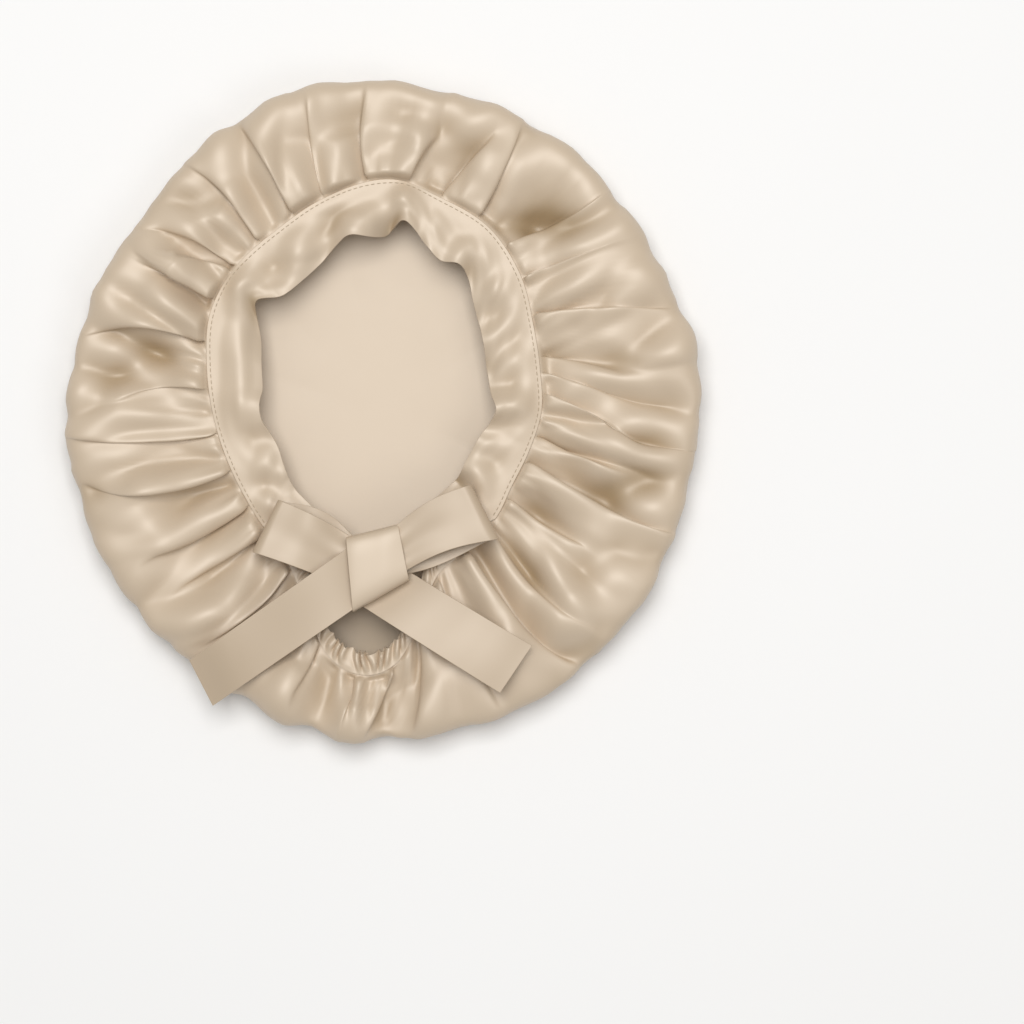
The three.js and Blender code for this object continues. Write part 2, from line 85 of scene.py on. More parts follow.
class Section(NamedTuple):
    """A section of the crown: rim and seam radii, heights of the crest and of the seam."""

    at: float
    rim: float
    edge: float
    top: float
    edge_z: float


class Fold(NamedTuple):
    """A fold of the crown: the angle of its crease at the seam, half way and at its tip,
    the radius that it reaches and its step, raised on the clockwise side where above 0."""

    at: float
    mid: float
    tip: float
    reach: float
    step: float


class Dent(NamedTuple):
    """A soft dent between folds: its middle, half lengths, turn from the radius, depth."""

    at: float
    out: float
    long: float
    wide: float
    turn: float
    deep: float


class Wave(NamedTuple):
    """A wave of the band's free edge: its angle, its radius and its lift over the seam."""

    at: float
    mouth: float
    lift: float


SECTIONS = tuple(
    Section(*row)
    for row in (
        (0, 159, 79.5, 32, 23),
        (15, 158, 81.5, 32, 23),
        (30, 157, 87, 32, 23),
        (45, 159, 97, 33, 24),
        (60, 161.5, 105.8, 33, 24),
        (75, 163, 110.3, 33, 24),
        (88, 165, 115.6, 33, 24),
        (105, 165.5, 110.2, 33, 24),
        (120, 161.5, 104.8, 33, 24),
        (135, 157, 102.7, 33, 24),
        (150, 155.5, 99.3, 33, 24),
        (165, 156, 91.3, 32, 23),
        (180, 158.5, 85.4, 32, 23),
        (195, 159.5, 82.2, 32, 23),
        (210, 158.5, 81.5, 31, 22),
        (224, 158, 83.6, 30, 21),
        (232, 158.5, 87, 30, 20),
        (241, 160, 93, 30, 20),
        (250, 162, 109, 29, 20),
        (258, 164.5, 127, 28, 20),
        (266, 166, 133, 28, 20),
        (273, 164.5, 127, 28, 20),
        (279, 163.5, 110, 29, 20),
        (287, 164.5, 89, 30, 20),
        (297, 165, 82.5, 30, 20),
        (307, 164, 79.5, 30, 20),
        (316, 162.5, 78.4, 31, 21),
        (330, 160, 75, 32, 22),
        (345, 158, 76.2, 32, 23),
    )
)

FOLDS = tuple(
    Fold(*row)
    for row in (
        (6, -1, -7.3, 128, 4.5),
        (13.6, 4.5, 1, 142, 4),
        (19, 14, 9.3, 120, 4),
        (32.3, 24.5, 19.3, 156, 5),
        (43.3, 38.5, 35.3, 148, 4),
        (53.1, 46.8, 44.6, 158, 6),
        (63.7, 63.1, 63.9, 158, -5),
        (74.7, 71, 68.2, 146, 5),
        (83.5, 81.5, 78.5, 138, -4),
        (93.5, 94.4, 93.3, 158, 6),
        (105.5, 105.2, 103.8, 158, 4.5),
        (114.3, 115.5, 117.2, 163, 5.5),
        (126.1, 126.3, 129.5, 160, 6),
        (135.4, 138.5, 144.2, 156, 5),
        (137.5, 141.5, 147, 142, -4.5),
        (146.7, 147.7, 149, 140, 6),
        (158.8, 161, 166.3, 153, 6),
        (173.3, 174.2, 178.5, 132, 4),
        (187.9, 187.7, 184.7, 160, 5.5),
        (201.7, 200.7, 194.2, 154, 5.5),
        (215.3, 215.2, 213, 134, 5.5),
        (226.6, 223.6, 221.5, 132, 5),
        (240, 237, 232, 150, 4),
        (254.5, 253.8, 252.5, 148, 4.5),
        (264, 263.4, 262.2, 158, 3.5),
        (272.5, 270.2, 267, 163, 4.5),
        (279.8, 278.6, 275.7, 161, -4),
        (288, 290, 292, 161, 3.5),
        (300.9, 302.2, 307.6, 161, 7),
        (312.5, 310.5, 314.5, 150, 3),
        (324.7, 324.3, 326, 118, 6),
        (339.8, 336.2, 337.4, 160, 7.5),
        (350.6, 347.2, 345.6, 116, 4.5),
    )
)

DENTS = tuple(
    Dent(*row)
    for row in (
        (71, 126, 14, 8, 15, 3.5),
        (83, 146, 20, 8, 75, 6.5),
        (49.5, 123, 20, 7, -50, 8),
        (41, 147, 14, 7, 10, 3.8),
        (12, 119, 16, 6, -20, 4.5),
        (132, 140, 18, 6, 35, 4.5),
        (167.5, 114, 14, 8, -25, 9),
        (175.5, 137, 20, 7, 50, 6),
        (205, 116, 18, 7, 0, 4.5),
        (311.5, 102, 15, 7, 3, 7),
        (327, 93, 12, 5, -10, 5),
        (327, 131, 24, 9, 70, 6),
        (342, 98, 12, 6, -13, 7),
        (344.5, 134, 26, 8, 25, 7.5),
        (354.5, 131, 18, 9, 10, 5.2),
    )
)

WAVES = tuple(
    Wave(*row)
    for row in (
        (-44, 50.5, 0),
        (-30, 48.8, 1),
        (-15, 50.3, -2),
        (-8, 53.5, 1),
        (0, 56.8, 4),
        (8, 54.8, 2),
        (20, 55.7, 0),
        (30, 59, -2),
        (42, 64.8, -3),
        (51, 71.5, -4),
        (57, 78.5, 0),
        (62, 82.5, 4),
        (69, 80, 2),
        (76, 86.2, 1),
        (81, 93, 4),
        (84.5, 95.8, 6),
        (88, 88, -1),
        (94, 86.7, 0),
        (101, 88.9, 4),
        (106, 85.2, 2),
        (113, 79.4, -1),
        (124, 75.8, -2),
        (132, 76, 0),
        (136, 80.5, 4),
        (139.5, 83.9, 6),
        (144, 77.5, 1),
        (150, 70.6, -4),
        (160, 64.6, -1),
        (170, 61, 0),
        (177, 61.6, 3),
        (185, 60.5, 2),
        (192, 57.2, 0),
        (200, 55.5, 1),
        (210, 56.8, -1),
        (224, 59.2, 0),
    )
)


# The shares of its middle length between which a wrinkle's waves lie.
WAVE_LENGTHS = (0.7, 1.5)

# How the noises of the weave's threads are stretched along the cloth, the warp's share of
# the weave, the patches' share of the tone, and how much finer the rest of the tone is.
WARP_STRETCH = (0.06, 1, 1)
WEFT_STRETCH = (1, 0.25, 1)
WARP_SHARE = 0.75
PATCH_SHARE = 0.7
FINER_BY = 7.0

# The share of a wall that its edges are rounded by, and the angle that counts as sharp.
ROUND_SHARE = 0.3
SHARP_ANGLE = 65

# How the crown's cloth is let go for a moment, in the words of the cloth settings.
SETTLING = {
    "quality": 4,
    "mass": 0.12,
    "air_damping": 2,
    "tension_stiffness": 12,
    "compression_stiffness": 12,
    "shear_stiffness": 4,
    "bending_stiffness": 0.05,
    "tension_damping": 5,
    "compression_damping": 5,
    "shear_damping": 5,
    "bending_damping": 0.5,
    "shrink_min": -0.07,
    "use_pressure": True,
    "uniform_pressure_force": 0.6,
    "pin_stiffness": 1,
}


def smooth(x: Number) -> np.ndarray:
    """Eases 0 to 1 as 3x squared less 2x cubed, flat outside."""
    x = np.clip(x, 0, 1)
    return x * x * (3 - 2 * x)


def ramp(x: Number, start: float, end: float) -> np.ndarray:
    """Eases from 0 where x is at the start to 1 where it is at the end."""
    return smooth((x - start) / (end - start))


def plateau(x: Number, span: Span) -> np.ndarray:
    """Eases up to 1 between the span's first two places and down again between its last two."""
    return ramp(x, span[0], span[1]) * (1 - ramp(x, span[2], span[3]))


def bell(x: Number) -> Number:
    """Returns e to the power of minus x squared."""
    return np.exp(-(x**2))


def bent(x: Number, power: float) -> np.ndarray:
    """Raises x to a power and keeps its sign, which squares off a circle's sine and cosine."""
    return np.sign(x) * np.abs(x) ** power


def mix(a: Number, b: Number, t: Number) -> Number:
    """Goes straight from a to b as t goes from 0 to 1."""
    return a + (b - a) * t


def turn_between(a: Number, b: Number) -> Number:
    """Returns the angle from b to a, between -180 and 180."""
    return (a - b + 180) % 360 - 180


def read_chart(rows: Sequence, column: str, x: np.ndarray, period: float = 0) -> np.ndarray:
    """Reads a chart's column at x, along a cubic through its rows.

    The slope at a row is that of the chord between its neighbours.

    Args:
        rows: the chart, ordered by its first column.
        column: the name of the column to read.
        x: where to read it, in the first column's unit.
        period: the length after which the chart repeats, or 0.

    Returns:
        The column's values, in the shape of x.
    """
    key = np.array([row[0] for row in rows], float)
    value = np.array([getattr(row, column) for row in rows], float)
    if period:
        key = np.concatenate([key[-2:] - period, key, key[:3] + period])
        value = np.concatenate([value[-2:], value, value[:3]])
        x = (x - rows[0][0]) % period + rows[0][0]
    slope = np.zeros_like(value)
    slope[1:-1] = (value[2:] - value[:-2]) / (key[2:] - key[:-2])
    i = np.clip(np.searchsorted(key, x, side="right") - 1, 0, len(key) - 2)
    span = key[i + 1] - key[i]
    t = np.clip((x - key[i]) / span, 0, 1)
    return (
        value[i] * (1 + 2 * t) * (1 - t) ** 2
        + slope[i] * span * t * (1 - t) ** 2
        + value[i + 1] * t * t * (3 - 2 * t)
        - slope[i + 1] * span * t * t * (1 - t)
    )


def section(column: str, degrees: np.ndarray) -> np.ndarray:
    """Reads a column of the crown's sections round the head."""
    return read_chart(SECTIONS, column, degrees, 360)


def in_plan(degrees: Number, radius: Number) -> tuple[np.ndarray, np.ndarray]:
    """Returns x and y of the places at an angle and a radius."""
    a = np.radians(degrees)
    return radius * np.cos(a), radius * np.sin(a)


def around(degrees: Number, radius: Number, z: Number) -> np.ndarray:
    """Stacks points given by their angle, radius and height."""
    return np.stack(np.broadcast_arrays(*in_plan(degrees, radius), z), -1)


@dataclass(frozen=True)
class Wrinkle:
    """A family of seeded sine waves that run over the cloth in random directions.

    It has a height and a middle length in millimetres, a seed, a number of waves, and a
    pace, which scales the cloth's second way. Where it has a crease, the waves are folded
    up at nought into soft valleys, and the level is taken off them.
    """

    height: float
    length: float
    seed: int
    count: int = 7
    pace: float = 1
    crease: float = 0
    level: float = 0.8

    def at(self, x: Number, y: Number) -> np.ndarray:
        """Works out the wrinkle over the cloth.

        The waves' sum has a spread of about 1 before it takes the height. A crease makes
        it the root of the sum's square and the crease's.

        Args:
            x: places along one way of the cloth, in millimetres.
            y: places along the other way, in millimetres or in shares that the pace scales.

        Returns:
            The heights, in millimetres.
        """
        dice = np.random.default_rng(self.seed)
        total = np.zeros(np.broadcast(x, y).shape)
        for _ in range(self.count):
            way, phase = dice.uniform(0, FULL_TURN, 2)
            turns = FULL_TURN / (self.length * dice.uniform(*WAVE_LENGTHS))
            total += np.sin(turns * (x * math.cos(way) + self.pace * y * math.sin(way)) + phase)
        total /= math.sqrt(self.count / 2)
        if self.crease:
            total = np.hypot(total, self.crease) - self.level
        return self.height * total


def mesh_object(name: str, places: np.ndarray, faces: list[list[int]]) -> bpy.types.Object:
    """Makes a smoothly shaded mesh object in the scene.

    Args:
        name: the object's name.
        places: the vertices, in millimetres.
        faces: each face's vertices.

    Returns:
        The new object, at the origin.
    """
    mesh = bpy.data.meshes.new(name)
    mesh.from_pydata((places * MM).tolist(), [], faces)
    mesh.polygons.foreach_set("use_smooth", np.ones(len(faces), bool))
    mesh.update()
    made = bpy.data.objects.new(name, mesh)
    bpy.context.scene.collection.objects.link(made)
    return made


def corners(grid: np.ndarray) -> list[np.ndarray]:
    """Returns the four corners of each cell of a grid, in order round the cell."""
    return [grid[:-1, :-1], grid[:-1, 1:], grid[1:, 1:], grid[1:, :-1]]


def lengths_along(points: np.ndarray, axis: int) -> np.ndarray:
    """Sums the steps between the points of a grid along one of its axes."""
    steps = np.diff(points, axis=axis, prepend=np.take(points, [0], axis))
    return np.cumsum(np.linalg.norm(steps, axis=2), axis)


def grid_mesh(
    name: str,
    points: np.ndarray,
    closed: bool = False,
    pole: np.ndarray | None = None,
    flip: bool = False,
) -> bpy.types.Object:
    """Makes a sheet from a grid of points, with a UV map in metres along the cloth.

    Args:
        name: the object's name.
        points: rows by columns by 3, in millimetres.
        closed: whether the last column joins the first.
        pole: a point that closes the grid before its first row.
        flip: turns the faces round.

    Returns:
        The new object.
    """
    rows, columns = points.shape[:2]
    index = np.arange(rows * columns).reshape(rows, columns)
    ring = points
    if closed:
        index = np.concatenate([index, index[:, :1]], 1)
        ring = np.concatenate([points, points[:, :1]], 1)
    run = np.stack([lengths_along(ring, 1), lengths_along(ring, 0)], -1)
    places = points.reshape(-1, 3)
    faces = [np.stack(corners(index), -1).reshape(-1, 4)]
    uv = [np.stack(corners(run), -2).reshape(-1, 4, 2)]
    if pole is not None:
        places = np.concatenate([places, [pole]])
        tip = np.full(index.shape[1] - 1, rows * columns)
        faces.append(np.stack([index[0, 1:], index[0, :-1], tip], -1))
        uv.append(np.stack([run[0, 1:], run[0, :-1], run[0, :-1] * [1, 0]], -2))
    if flip:
        faces = [group[:, ::-1] for group in faces]
        uv = [group[:, ::-1] for group in uv]
    sheet = mesh_object(name, places, [face for group in faces for face in group.tolist()])
    flat = np.concatenate([group.reshape(-1, 2) for group in uv])
    sheet.data.uv_layers.new(name="cloth").data.foreach_set("uv", (flat * MM).ravel())
    return sheet


def shade(piece: bpy.types.Object, painted_shade: np.ndarray) -> None:
    """Gives each point of a sheet its painted shade, from 0 to 1, such as how deep it lies in a
    fold.
    """
    layer = piece.data.attributes.new("painted_shade", "FLOAT", "POINT")
    layer.data.foreach_set("value", np.ravel(painted_shade).astype(np.float32))


def ease_rows(grid: np.ndarray, weight: Number, rounds: int) -> None:
    """Eases a grid in place: each inner row goes towards the mean of itself, counted twice,
    and its two neighbours.

    Args:
        grid: rows by columns by 3.
        weight: how much of the way it goes, from 0 to 1.
        rounds: how many times.
    """
    for _ in range(rounds):
        middle = (grid[:-2] + 2 * grid[1:-1] + grid[2:]) / 4
        grid[1:-1] = mix(grid[1:-1], middle, weight)


def thicken(
    piece: bpy.types.Object, wall: float, offset: float = 0, rounded: bool = True
) -> None:
    """Gives a sheet its thickness, rimmed and even.

    Args:
        piece: the sheet.
        wall: the thickness in millimetres.
        offset: where the sheet lies in it, from -1, outer face, to 1, inner face.
        rounded: whether its sharp edges are rounded too.
    """
    solid = piece.modifiers.new("wall", "SOLIDIFY")
    solid.thickness = wall * MM
    solid.offset = offset
    solid.use_rim = True
    if not rounded:
        return
    edges = piece.modifiers.new("edges", "BEVEL")
    edges.width = ROUND_SHARE * wall * MM
    edges.segments = 2
    edges.limit_method = "ANGLE"
    edges.angle_limit = math.radians(SHARP_ANGLE)
    edges.harden_normals = True


def dress(
    piece: bpy.types.Object, finish: bpy.types.Material, node: str, slot: Slot, **cut: object
) -> bpy.types.Object:
    """Gives a sheet its finish, attaches it to the root and hides the solid that it stands for.

    Args:
        piece: the sheet.
        finish: its material.
        node: the solid that it stands for.
        slot: the record's finish that it takes; not used.

    Returns:
        The sheet.
    """
    piece.data.materials.append(finish)
    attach(piece, "root")
    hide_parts(node)
    return piece


class Nodes:
    """Adds shader nodes to a tree and joins them, left to right."""

    def __init__(self, tree: bpy.types.NodeTree) -> None:
        """Keeps the tree that the nodes go into."""
        self.tree = tree

    def feed(self, inputs: bpy.types.bpy_prop_collection, values: dict) -> None:
        """Fills a node's inputs.

        Args:
            inputs: the inputs.
            values: values or sockets for them, by name or number.
        """
        for key, value in values.items():
            if isinstance(value, bpy.types.NodeSocket):
                self.tree.links.new(value, inputs[key])
            else:
                inputs[key].default_value = value

    def add(self, kind: str, inputs: dict | None = None, **settings: object) -> bpy.types.Node:
        """Adds one node.

        Args:
            kind: the node's type, without its ShaderNode prefix.
            inputs: values or sockets to put in its inputs, by name or number.
            settings: the node's own settings.

        Returns:
            The new node.
        """
        node = self.tree.nodes.new("ShaderNode" + kind)
        for key, value in settings.items():
            setattr(node, key, value)
        self.feed(node.inputs, inputs or {})
        node.location.x = 180 * len(self.tree.nodes)
        return node

    def math(self, operation: str, *values: object) -> bpy.types.NodeSocket:
        """Adds a Math node and returns its output."""
        return self.add("Math", dict(enumerate(values)), operation=operation).outputs[0]

    def weigh(self, first: object, second: object, share: float) -> bpy.types.NodeSocket:
        """Adds a share of the first value and the rest of the second."""
        return self.math("MULTIPLY_ADD", first, share, self.math("MULTIPLY", second, 1 - share))

    def blend(self, share: object, first: object, second: object) -> bpy.types.NodeSocket:
        """Goes from one colour to another by a share.

        Args:
            share: a value or socket from 0 to 1.
            first: the colour at 0, as a colour or a socket.
            second: the colour at 1, as a colour or a socket.

        Returns:
            The mixed colour's socket.
        """
        pair = [c if isinstance(c, bpy.types.NodeSocket) else (*c, 1) for c in (first, second)]
        inputs = {0: share, 6: pair[0], 7: pair[1]}
        return self.add("Mix", inputs, data_type="RGBA").outputs[2]


def new_material(
    name: str,
) -> tuple[bpy.types.Material, Nodes, bpy.types.bpy_prop_collection]:
    """Makes a material and returns it with its nodes and its shader's inputs."""
    made = bpy.data.materials.new(name)
    made.use_nodes = True
    return made, Nodes(made.node_tree), made.node_tree.nodes["Principled BSDF"].inputs


def satin_group() -> bpy.types.NodeTree:
    """Builds the satin's surface: its weave and the slow changes of tone over the cloth.

    The weave is fine warp threads, long across and thin along, under a weaker weft, and
    reads the cloth's UV map. The tone is two soft noises in space.

    Returns:
        The node group, with the threads and the patches for each metre as its inputs.
    """
    tree = bpy.data.node_groups.new("satin surface", "ShaderNodeTree")
    for name, value in (("Thread", 4500.0), ("Patch", 12.0)):
        socket = tree.interface.new_socket(name, in_out="INPUT", socket_type="NodeSocketFloat")
        socket.default_value = value
    for name in ("Weave", "Tone", "Rub"):
        tree.interface.new_socket(name, in_out="OUTPUT", socket_type="NodeSocketFloat")
    nodes = Nodes(tree)
    given = tree.nodes.new("NodeGroupInput").outputs
    cloth = nodes.add("UVMap", uv_map="cloth").outputs[0]
    threads = []
    for stretch in (WARP_STRETCH, WEFT_STRETCH):
        way = nodes.add("Mapping", {"Vector": cloth, "Scale": stretch}).outputs[0]
        noise = {"Vector": way, "Scale": given["Thread"], "Detail": 1.0}
        threads.append(nodes.add("TexNoise", noise).outputs[0])
    place = nodes.add("TexCoord").outputs["Object"]
    patch = nodes.add("TexNoise", {"Vector": place, "Scale": given["Patch"], "Detail": 2.0})
    finer = nodes.math("MULTIPLY", given["Patch"], FINER_BY)
    fine = nodes.add("TexNoise", {"Vector": place, "Scale": finer}).outputs[0]
    made = {
        "Weave": nodes.weigh(*threads, WARP_SHARE),
        "Tone": nodes.weigh(patch.outputs[0], fine, PATCH_SHARE),
        "Rub": fine,
    }
    nodes.feed(tree.nodes.new("NodeGroupOutput").inputs, made)
    return tree


@dataclass(frozen=True)
class SatinFinish:
    """Champagne satin: a warm pale cloth with a broad soft gloss."""

    name: str = "champagne satin"
    light: Triple = (0.61, 0.495, 0.37)
    dark: Triple = (0.575, 0.46, 0.335)
    # The colour that the painted shade darkens the satin towards, in the folds' troughs and
    # behind the nape's gap.
    painted_shade: Triple = (0.37, 0.265, 0.15)
    gloss: Pair = (0.47, 0.5)
    specular: float = 1.0
    lustre: float = 0.05
    sheen: float = 0.04
    sheen_spread: float = 0.45
    weave: float = 0.05
    weave_depth: float = 0.0002

    def make(self, surface: bpy.types.NodeTree) -> bpy.types.Material:
        """Builds the material around the shared satin surface.

        Args:
            surface: the node group of the weave and the tone.

        Returns:
            The material, which also darkens by each point's painted shade, in folds and troughs.
        """
        cloth, nodes, shader = new_material(self.name)
        cloth.diffuse_color = (*self.light, 1)
        satin = cloth.node_tree.nodes.new("ShaderNodeGroup")
        satin.node_tree = surface
        tone, rub, weave = (satin.outputs[name] for name in ("Tone", "Rub", "Weave"))
        # Painted shade: each point's share takes the colour towards the painted shade colour.
        painted_shade = nodes.add("Attribute", attribute_name="painted_shade").outputs["Fac"]
        colour = nodes.blend(tone, self.dark, self.light)
        gloss = nodes.add("MapRange", {0: rub, 3: self.gloss[0], 4: self.gloss[1]})
        relief = {"Height": weave, "Strength": self.weave, "Distance": self.weave_depth}
        look = {
            "Base Color": nodes.blend(painted_shade, colour, self.painted_shade),
            "Roughness": gloss.outputs[0],
            "Normal": nodes.add("Bump", relief).outputs[0],
            "Metallic": self.lustre,
            "Specular IOR Level": self.specular,
            "Sheen Weight": self.sheen,
            "Sheen Roughness": self.sheen_spread,
        }
        nodes.feed(shader, look)
        return cloth


# A darker copy of the satin for the bow's loops and tails: painted shade for where they slope
# away from the light. The knot keeps the lighter satin.
SHADED_RIBBON_SATIN = SatinFinish("ribbon satin with painted shade", (0.525, 0.415, 0.3), (0.505, 0.395, 0.275))


@dataclass(frozen=True)
class ThreadFinish:
    """Twisted sewing thread in the satin's colour, a shade deeper."""

    name: str = "sewing thread"
    colour: Triple = (0.51, 0.41, 0.29)
    shadow: float = 0.8
    twists: float = 900.0
    relief: float = 0.4
    relief_depth: float = 0.0001
    roughness: float = 0.6

    def make(self) -> bpy.types.Material:
        """Builds the material, with the thread's twist as fine slanting bands."""
        thread, nodes, shader = new_material(self.name)
        place = nodes.add("TexCoord").outputs["Object"]
        bands = {"Vector": place, "Scale": self.twists}
        twist = nodes.add("TexWave", bands, bands_direction="DIAGONAL").outputs[1]
        dark = tuple(self.shadow * c for c in self.colour)
        relief = {"Height": twist, "Strength": self.relief, "Distance": self.relief_depth}
        look = {
            "Base Color": nodes.blend(twist, dark, self.colour),
            "Normal": nodes.add("Bump", relief).outputs[0],
            "Roughness": self.roughness,
        }
        nodes.feed(shader, look)
        return thread


@dataclass(frozen=True)
class FloorFinish:
    """The studio's plain pale floor."""

    name: str = "studio floor"
    colour: Triple = (0.9, 0.9, 0.9)
    shadow: float = 0.98
    clouds: float = 3.0
    roughness: float = 0.9

    def make(self) -> bpy.types.Material:
        """Builds the material, faintly uneven in tone."""
        floor, nodes, shader = new_material(self.name)
        place = nodes.add("TexCoord").outputs["Object"]
        cloud = nodes.add("TexNoise", {"Vector": place, "Scale": self.clouds}).outputs[0]
        dark = tuple(self.shadow * c for c in self.colour)
        colour = nodes.blend(cloud, dark, self.colour)
        nodes.feed(shader, {"Base Color": colour, "Roughness": self.roughness})
        return floor


@dataclass
class Crown:
    """The round of satin, gathered into the seam and puffed out over its own rim."""

    # Its section, and the radii at which lengths round the head are taken.
    wall: float = 0.6
    roll_depth: float = 24
    roll_share: float = 0.42
    roll_middle: float = 13
    roll_square: float = 0.62
    roll_rise: float = 19
    foot_depth: float = 9
    seam_lap: float = 2.5
    seam_clear: float = 0.6
    ring_radius: float = 120
    crest_radius: float = 150
    side_radius: float = 155

    # Its folds.
    fold_start: float = 2.4
    fold_fade: Pair = (-10, 14)
    tip_share: float = 0.65
    crease_width: Pair = (1.0, 3.0)
    stand: float = 0.45
    stand_spread: Pair = (13, 22)
    dive: float = 0.95
    dive_spread: Pair = (8.5, 14)
    overlap: float = 0.8
    overlap_spread: float = 2.2

    # Its seeded swellings and wrinkles.
    swell: Wrinkle = Wrinkle(1, 52, 15, 5)
    swell_high: float = 1.2
    swell_deep: float = 0.16
    swell_limits: Pair = (0.7, 1.3)
    wrinkles: tuple[Wrinkle, ...] = (
        Wrinkle(0.6, 17, 12, 9, pace=1 / 3.5),
        Wrinkle(2.4, 26, 18, pace=1 / 4, crease=0.2),
        Wrinkle(2.4, 44, 19, pace=1 / 1.6, crease=0.16),
    )
    billow: Wrinkle = Wrinkle(1.3, 40, 13)
    gathers: Wrinkle = Wrinkle(1, 6.5, 14, 9, pace=1 / 6)
    gather_height: Pair = (0.8, 2.4)
    gather_reach: Pair = (9, 19)
    nape_width: float = 15
    side_wave: Wrinkle = Wrinkle(0.55, 30, 20, pace=26, crease=0.15, level=0.75)
    side_slant: float = 22
    floor_lift: Wrinkle = Wrinkle(0.9, 70, 11)

    # The painted shade in its folds' troughs, and the painted shadow on the round behind the gap
    # at the nape.
    painted_shade_span: Pair = (0.6, 10.6)
    shade_deep: float = 0.9
    shade_at: Pair = (0, -116)
    shade_size: Pair = (34, 22)

    # Its grid, and the stations between which each effect comes and goes.
    rows: tuple[int, int, int, int] = (10, 8, 16, 40)
    first_row: float = 0.08
    columns_round: int = 600
    fewest_columns: int = 6
    crowding: float = 0.55
    follow_span: Pair = (1, 1.6)
    fold_span: Pair = (1.35, 1.95)
    side_span: Span = (1.05, 1.4, 1.75, 2.15)
    floor_span: Span = (0.1, 0.8, 1.3, 1.7)
    ease_span: Pair = (1.6, 1.9)
    ease_rounds: int = 3

    # How its cloth settles.
    held_rows: Pair = (0.75, 2.97)
    free_span: Span = (1.45, 1.8, 2.55, 2.9)
    settle_frames: int = 8
    settle_gravity: float = 0.1
    settle_rounds: int = 6
    move_cap: float = 6
    move_share: float = 0.6

    def crease(self, fold: Fold, radius: np.ndarray) -> tuple[np.ndarray, np.ndarray]:
        """Follows a fold's crease outwards.

        Its angle is the parabola through the crease's three angles.

        Args:
            fold: the fold.
            radius: distances from the middle.

        Returns:
            The crease's angles there, and how far along it they are, from 0 to 1.
        """
        start = section("edge", np.array(fold.at))
        t = np.clip((radius - start) / (fold.reach - start), 0, 1)
        ends = fold.at * (1 - t) * (1 - 2 * t) + fold.tip * t * (2 * t - 1)
        return ends + 4 * fold.mid * t * (1 - t), t

    def dent_depth(self, dent: Dent, degrees: np.ndarray, radius: np.ndarray) -> np.ndarray:
        """Works out a dent: a bell along it times a bell across it.

        Args:
            dent: the dent.
            degrees: the places' angles.
            radius: the places' distances from the middle.

        Returns:
            How deep it is at the places.
        """
        turn = math.radians(dent.turn)
        out = radius - dent.out
        side = np.radians(turn_between(degrees, dent.at)) * radius
        long = out * math.cos(turn) + side * math.sin(turn)
        wide = side * math.cos(turn) - out * math.sin(turn)
        return dent.deep * bell(long / dent.long) * bell(wide / dent.wide)

    def folds_at(self, degrees: np.ndarray, radius: np.ndarray) -> tuple[np.ndarray, np.ndarray]:
        """Works out what the folds do at places on the ring.

        A fold is a pleat laid over the next: on one side of its crease the cloth stands up
        and falls off slowly, on the other it dives and comes back sooner. It grows from
        the seam and fades before its tip, and its raised side leans over the crease, so
        the cloth moves a little round the head too. Dents and seeded wrinkles come on top.

        Args:
            degrees: the places' angles.
            radius: the places' distances from the middle.

        Returns:
            The height that the folds add, and the way that they move the cloth round.
        """
        rise, lean = np.zeros_like(radius), np.zeros_like(radius)
        for fold in FOLDS:
            crease, t = self.crease(fold, radius)
            off = -np.radians(turn_between(degrees, crease)) * radius
            width = mix(*self.crease_width, t)
            fade = 1 - ramp(radius - fold.reach, *self.fold_fade)
            step = abs(fold.step) * mix(1, self.tip_share, t) * fade
            side = np.tanh(off * np.sign(fold.step) / width)
            up = 0.5 * (1 + side) * self.stand / (1 + (off / mix(*self.stand_spread, t)) ** 2)
            down = 0.5 * (1 - side) * self.dive * np.exp(-np.abs(off) / mix(*self.dive_spread, t))
            near = np.exp(-np.abs(off) / (self.overlap_spread * width))
            rise += step * (up - down)
            lean += self.overlap * step * np.tanh(off / width) * near
        for dent in DENTS:
            rise -= self.dent_depth(dent, degrees, radius)
        run = self.ring_radius * np.radians(degrees)
        rise += self.billow.at(*in_plan(degrees, radius))
        rise += sum(wrinkle.at(run, radius) for wrinkle in self.wrinkles)
        out = radius - section("edge", degrees)
        nape = bell(turn_between(degrees, NAPE) / self.nape_width)
        gather = mix(*self.gather_height, nape)
        gather = gather * np.exp(-np.maximum(out, 0) / mix(*self.gather_reach, nape))
        rise += gather * self.gathers.at(run, radius)
        start = ramp(out, self.seam_clear, self.seam_clear + self.fold_start)
        return rise * start, lean * start

    def columns(self) -> tuple[np.ndarray, np.ndarray]:
        """Shares the mesh's columns among the creases, closer together near each crease.

        Returns:
            For each column, the number of the crease before it and the share of the way
            to the next crease.
        """
        at = np.array([fold.at for fold in FOLDS])
        crease, share = [], []
        for i, span in enumerate(np.diff(np.append(at, at[0] + 360))):
            count = max(self.fewest_columns, round(span / 360 * self.columns_round))
            even = np.arange(count) / count
            crease.append(np.full(count, i))
            share.append(even - self.crowding * np.sin(FULL_TURN * even) / FULL_TURN)
        return np.concatenate(crease), np.concatenate(share)

    def stations(self) -> np.ndarray:
        """Returns the rows' stations, from near the middle of the round to the lap."""
        base, under, over, ring = self.rows
        legs = ((FLAT, WIDEST, under), (WIDEST, CREST, over), (CREST, SEAM, ring))
        rows = [np.linspace(self.first_row, FLAT, base)]
        rows += [np.linspace(start, end, count + 1)[1:] for start, end, count in legs]
        return np.concatenate([*rows, [(SEAM + LAP) / 2, LAP]])

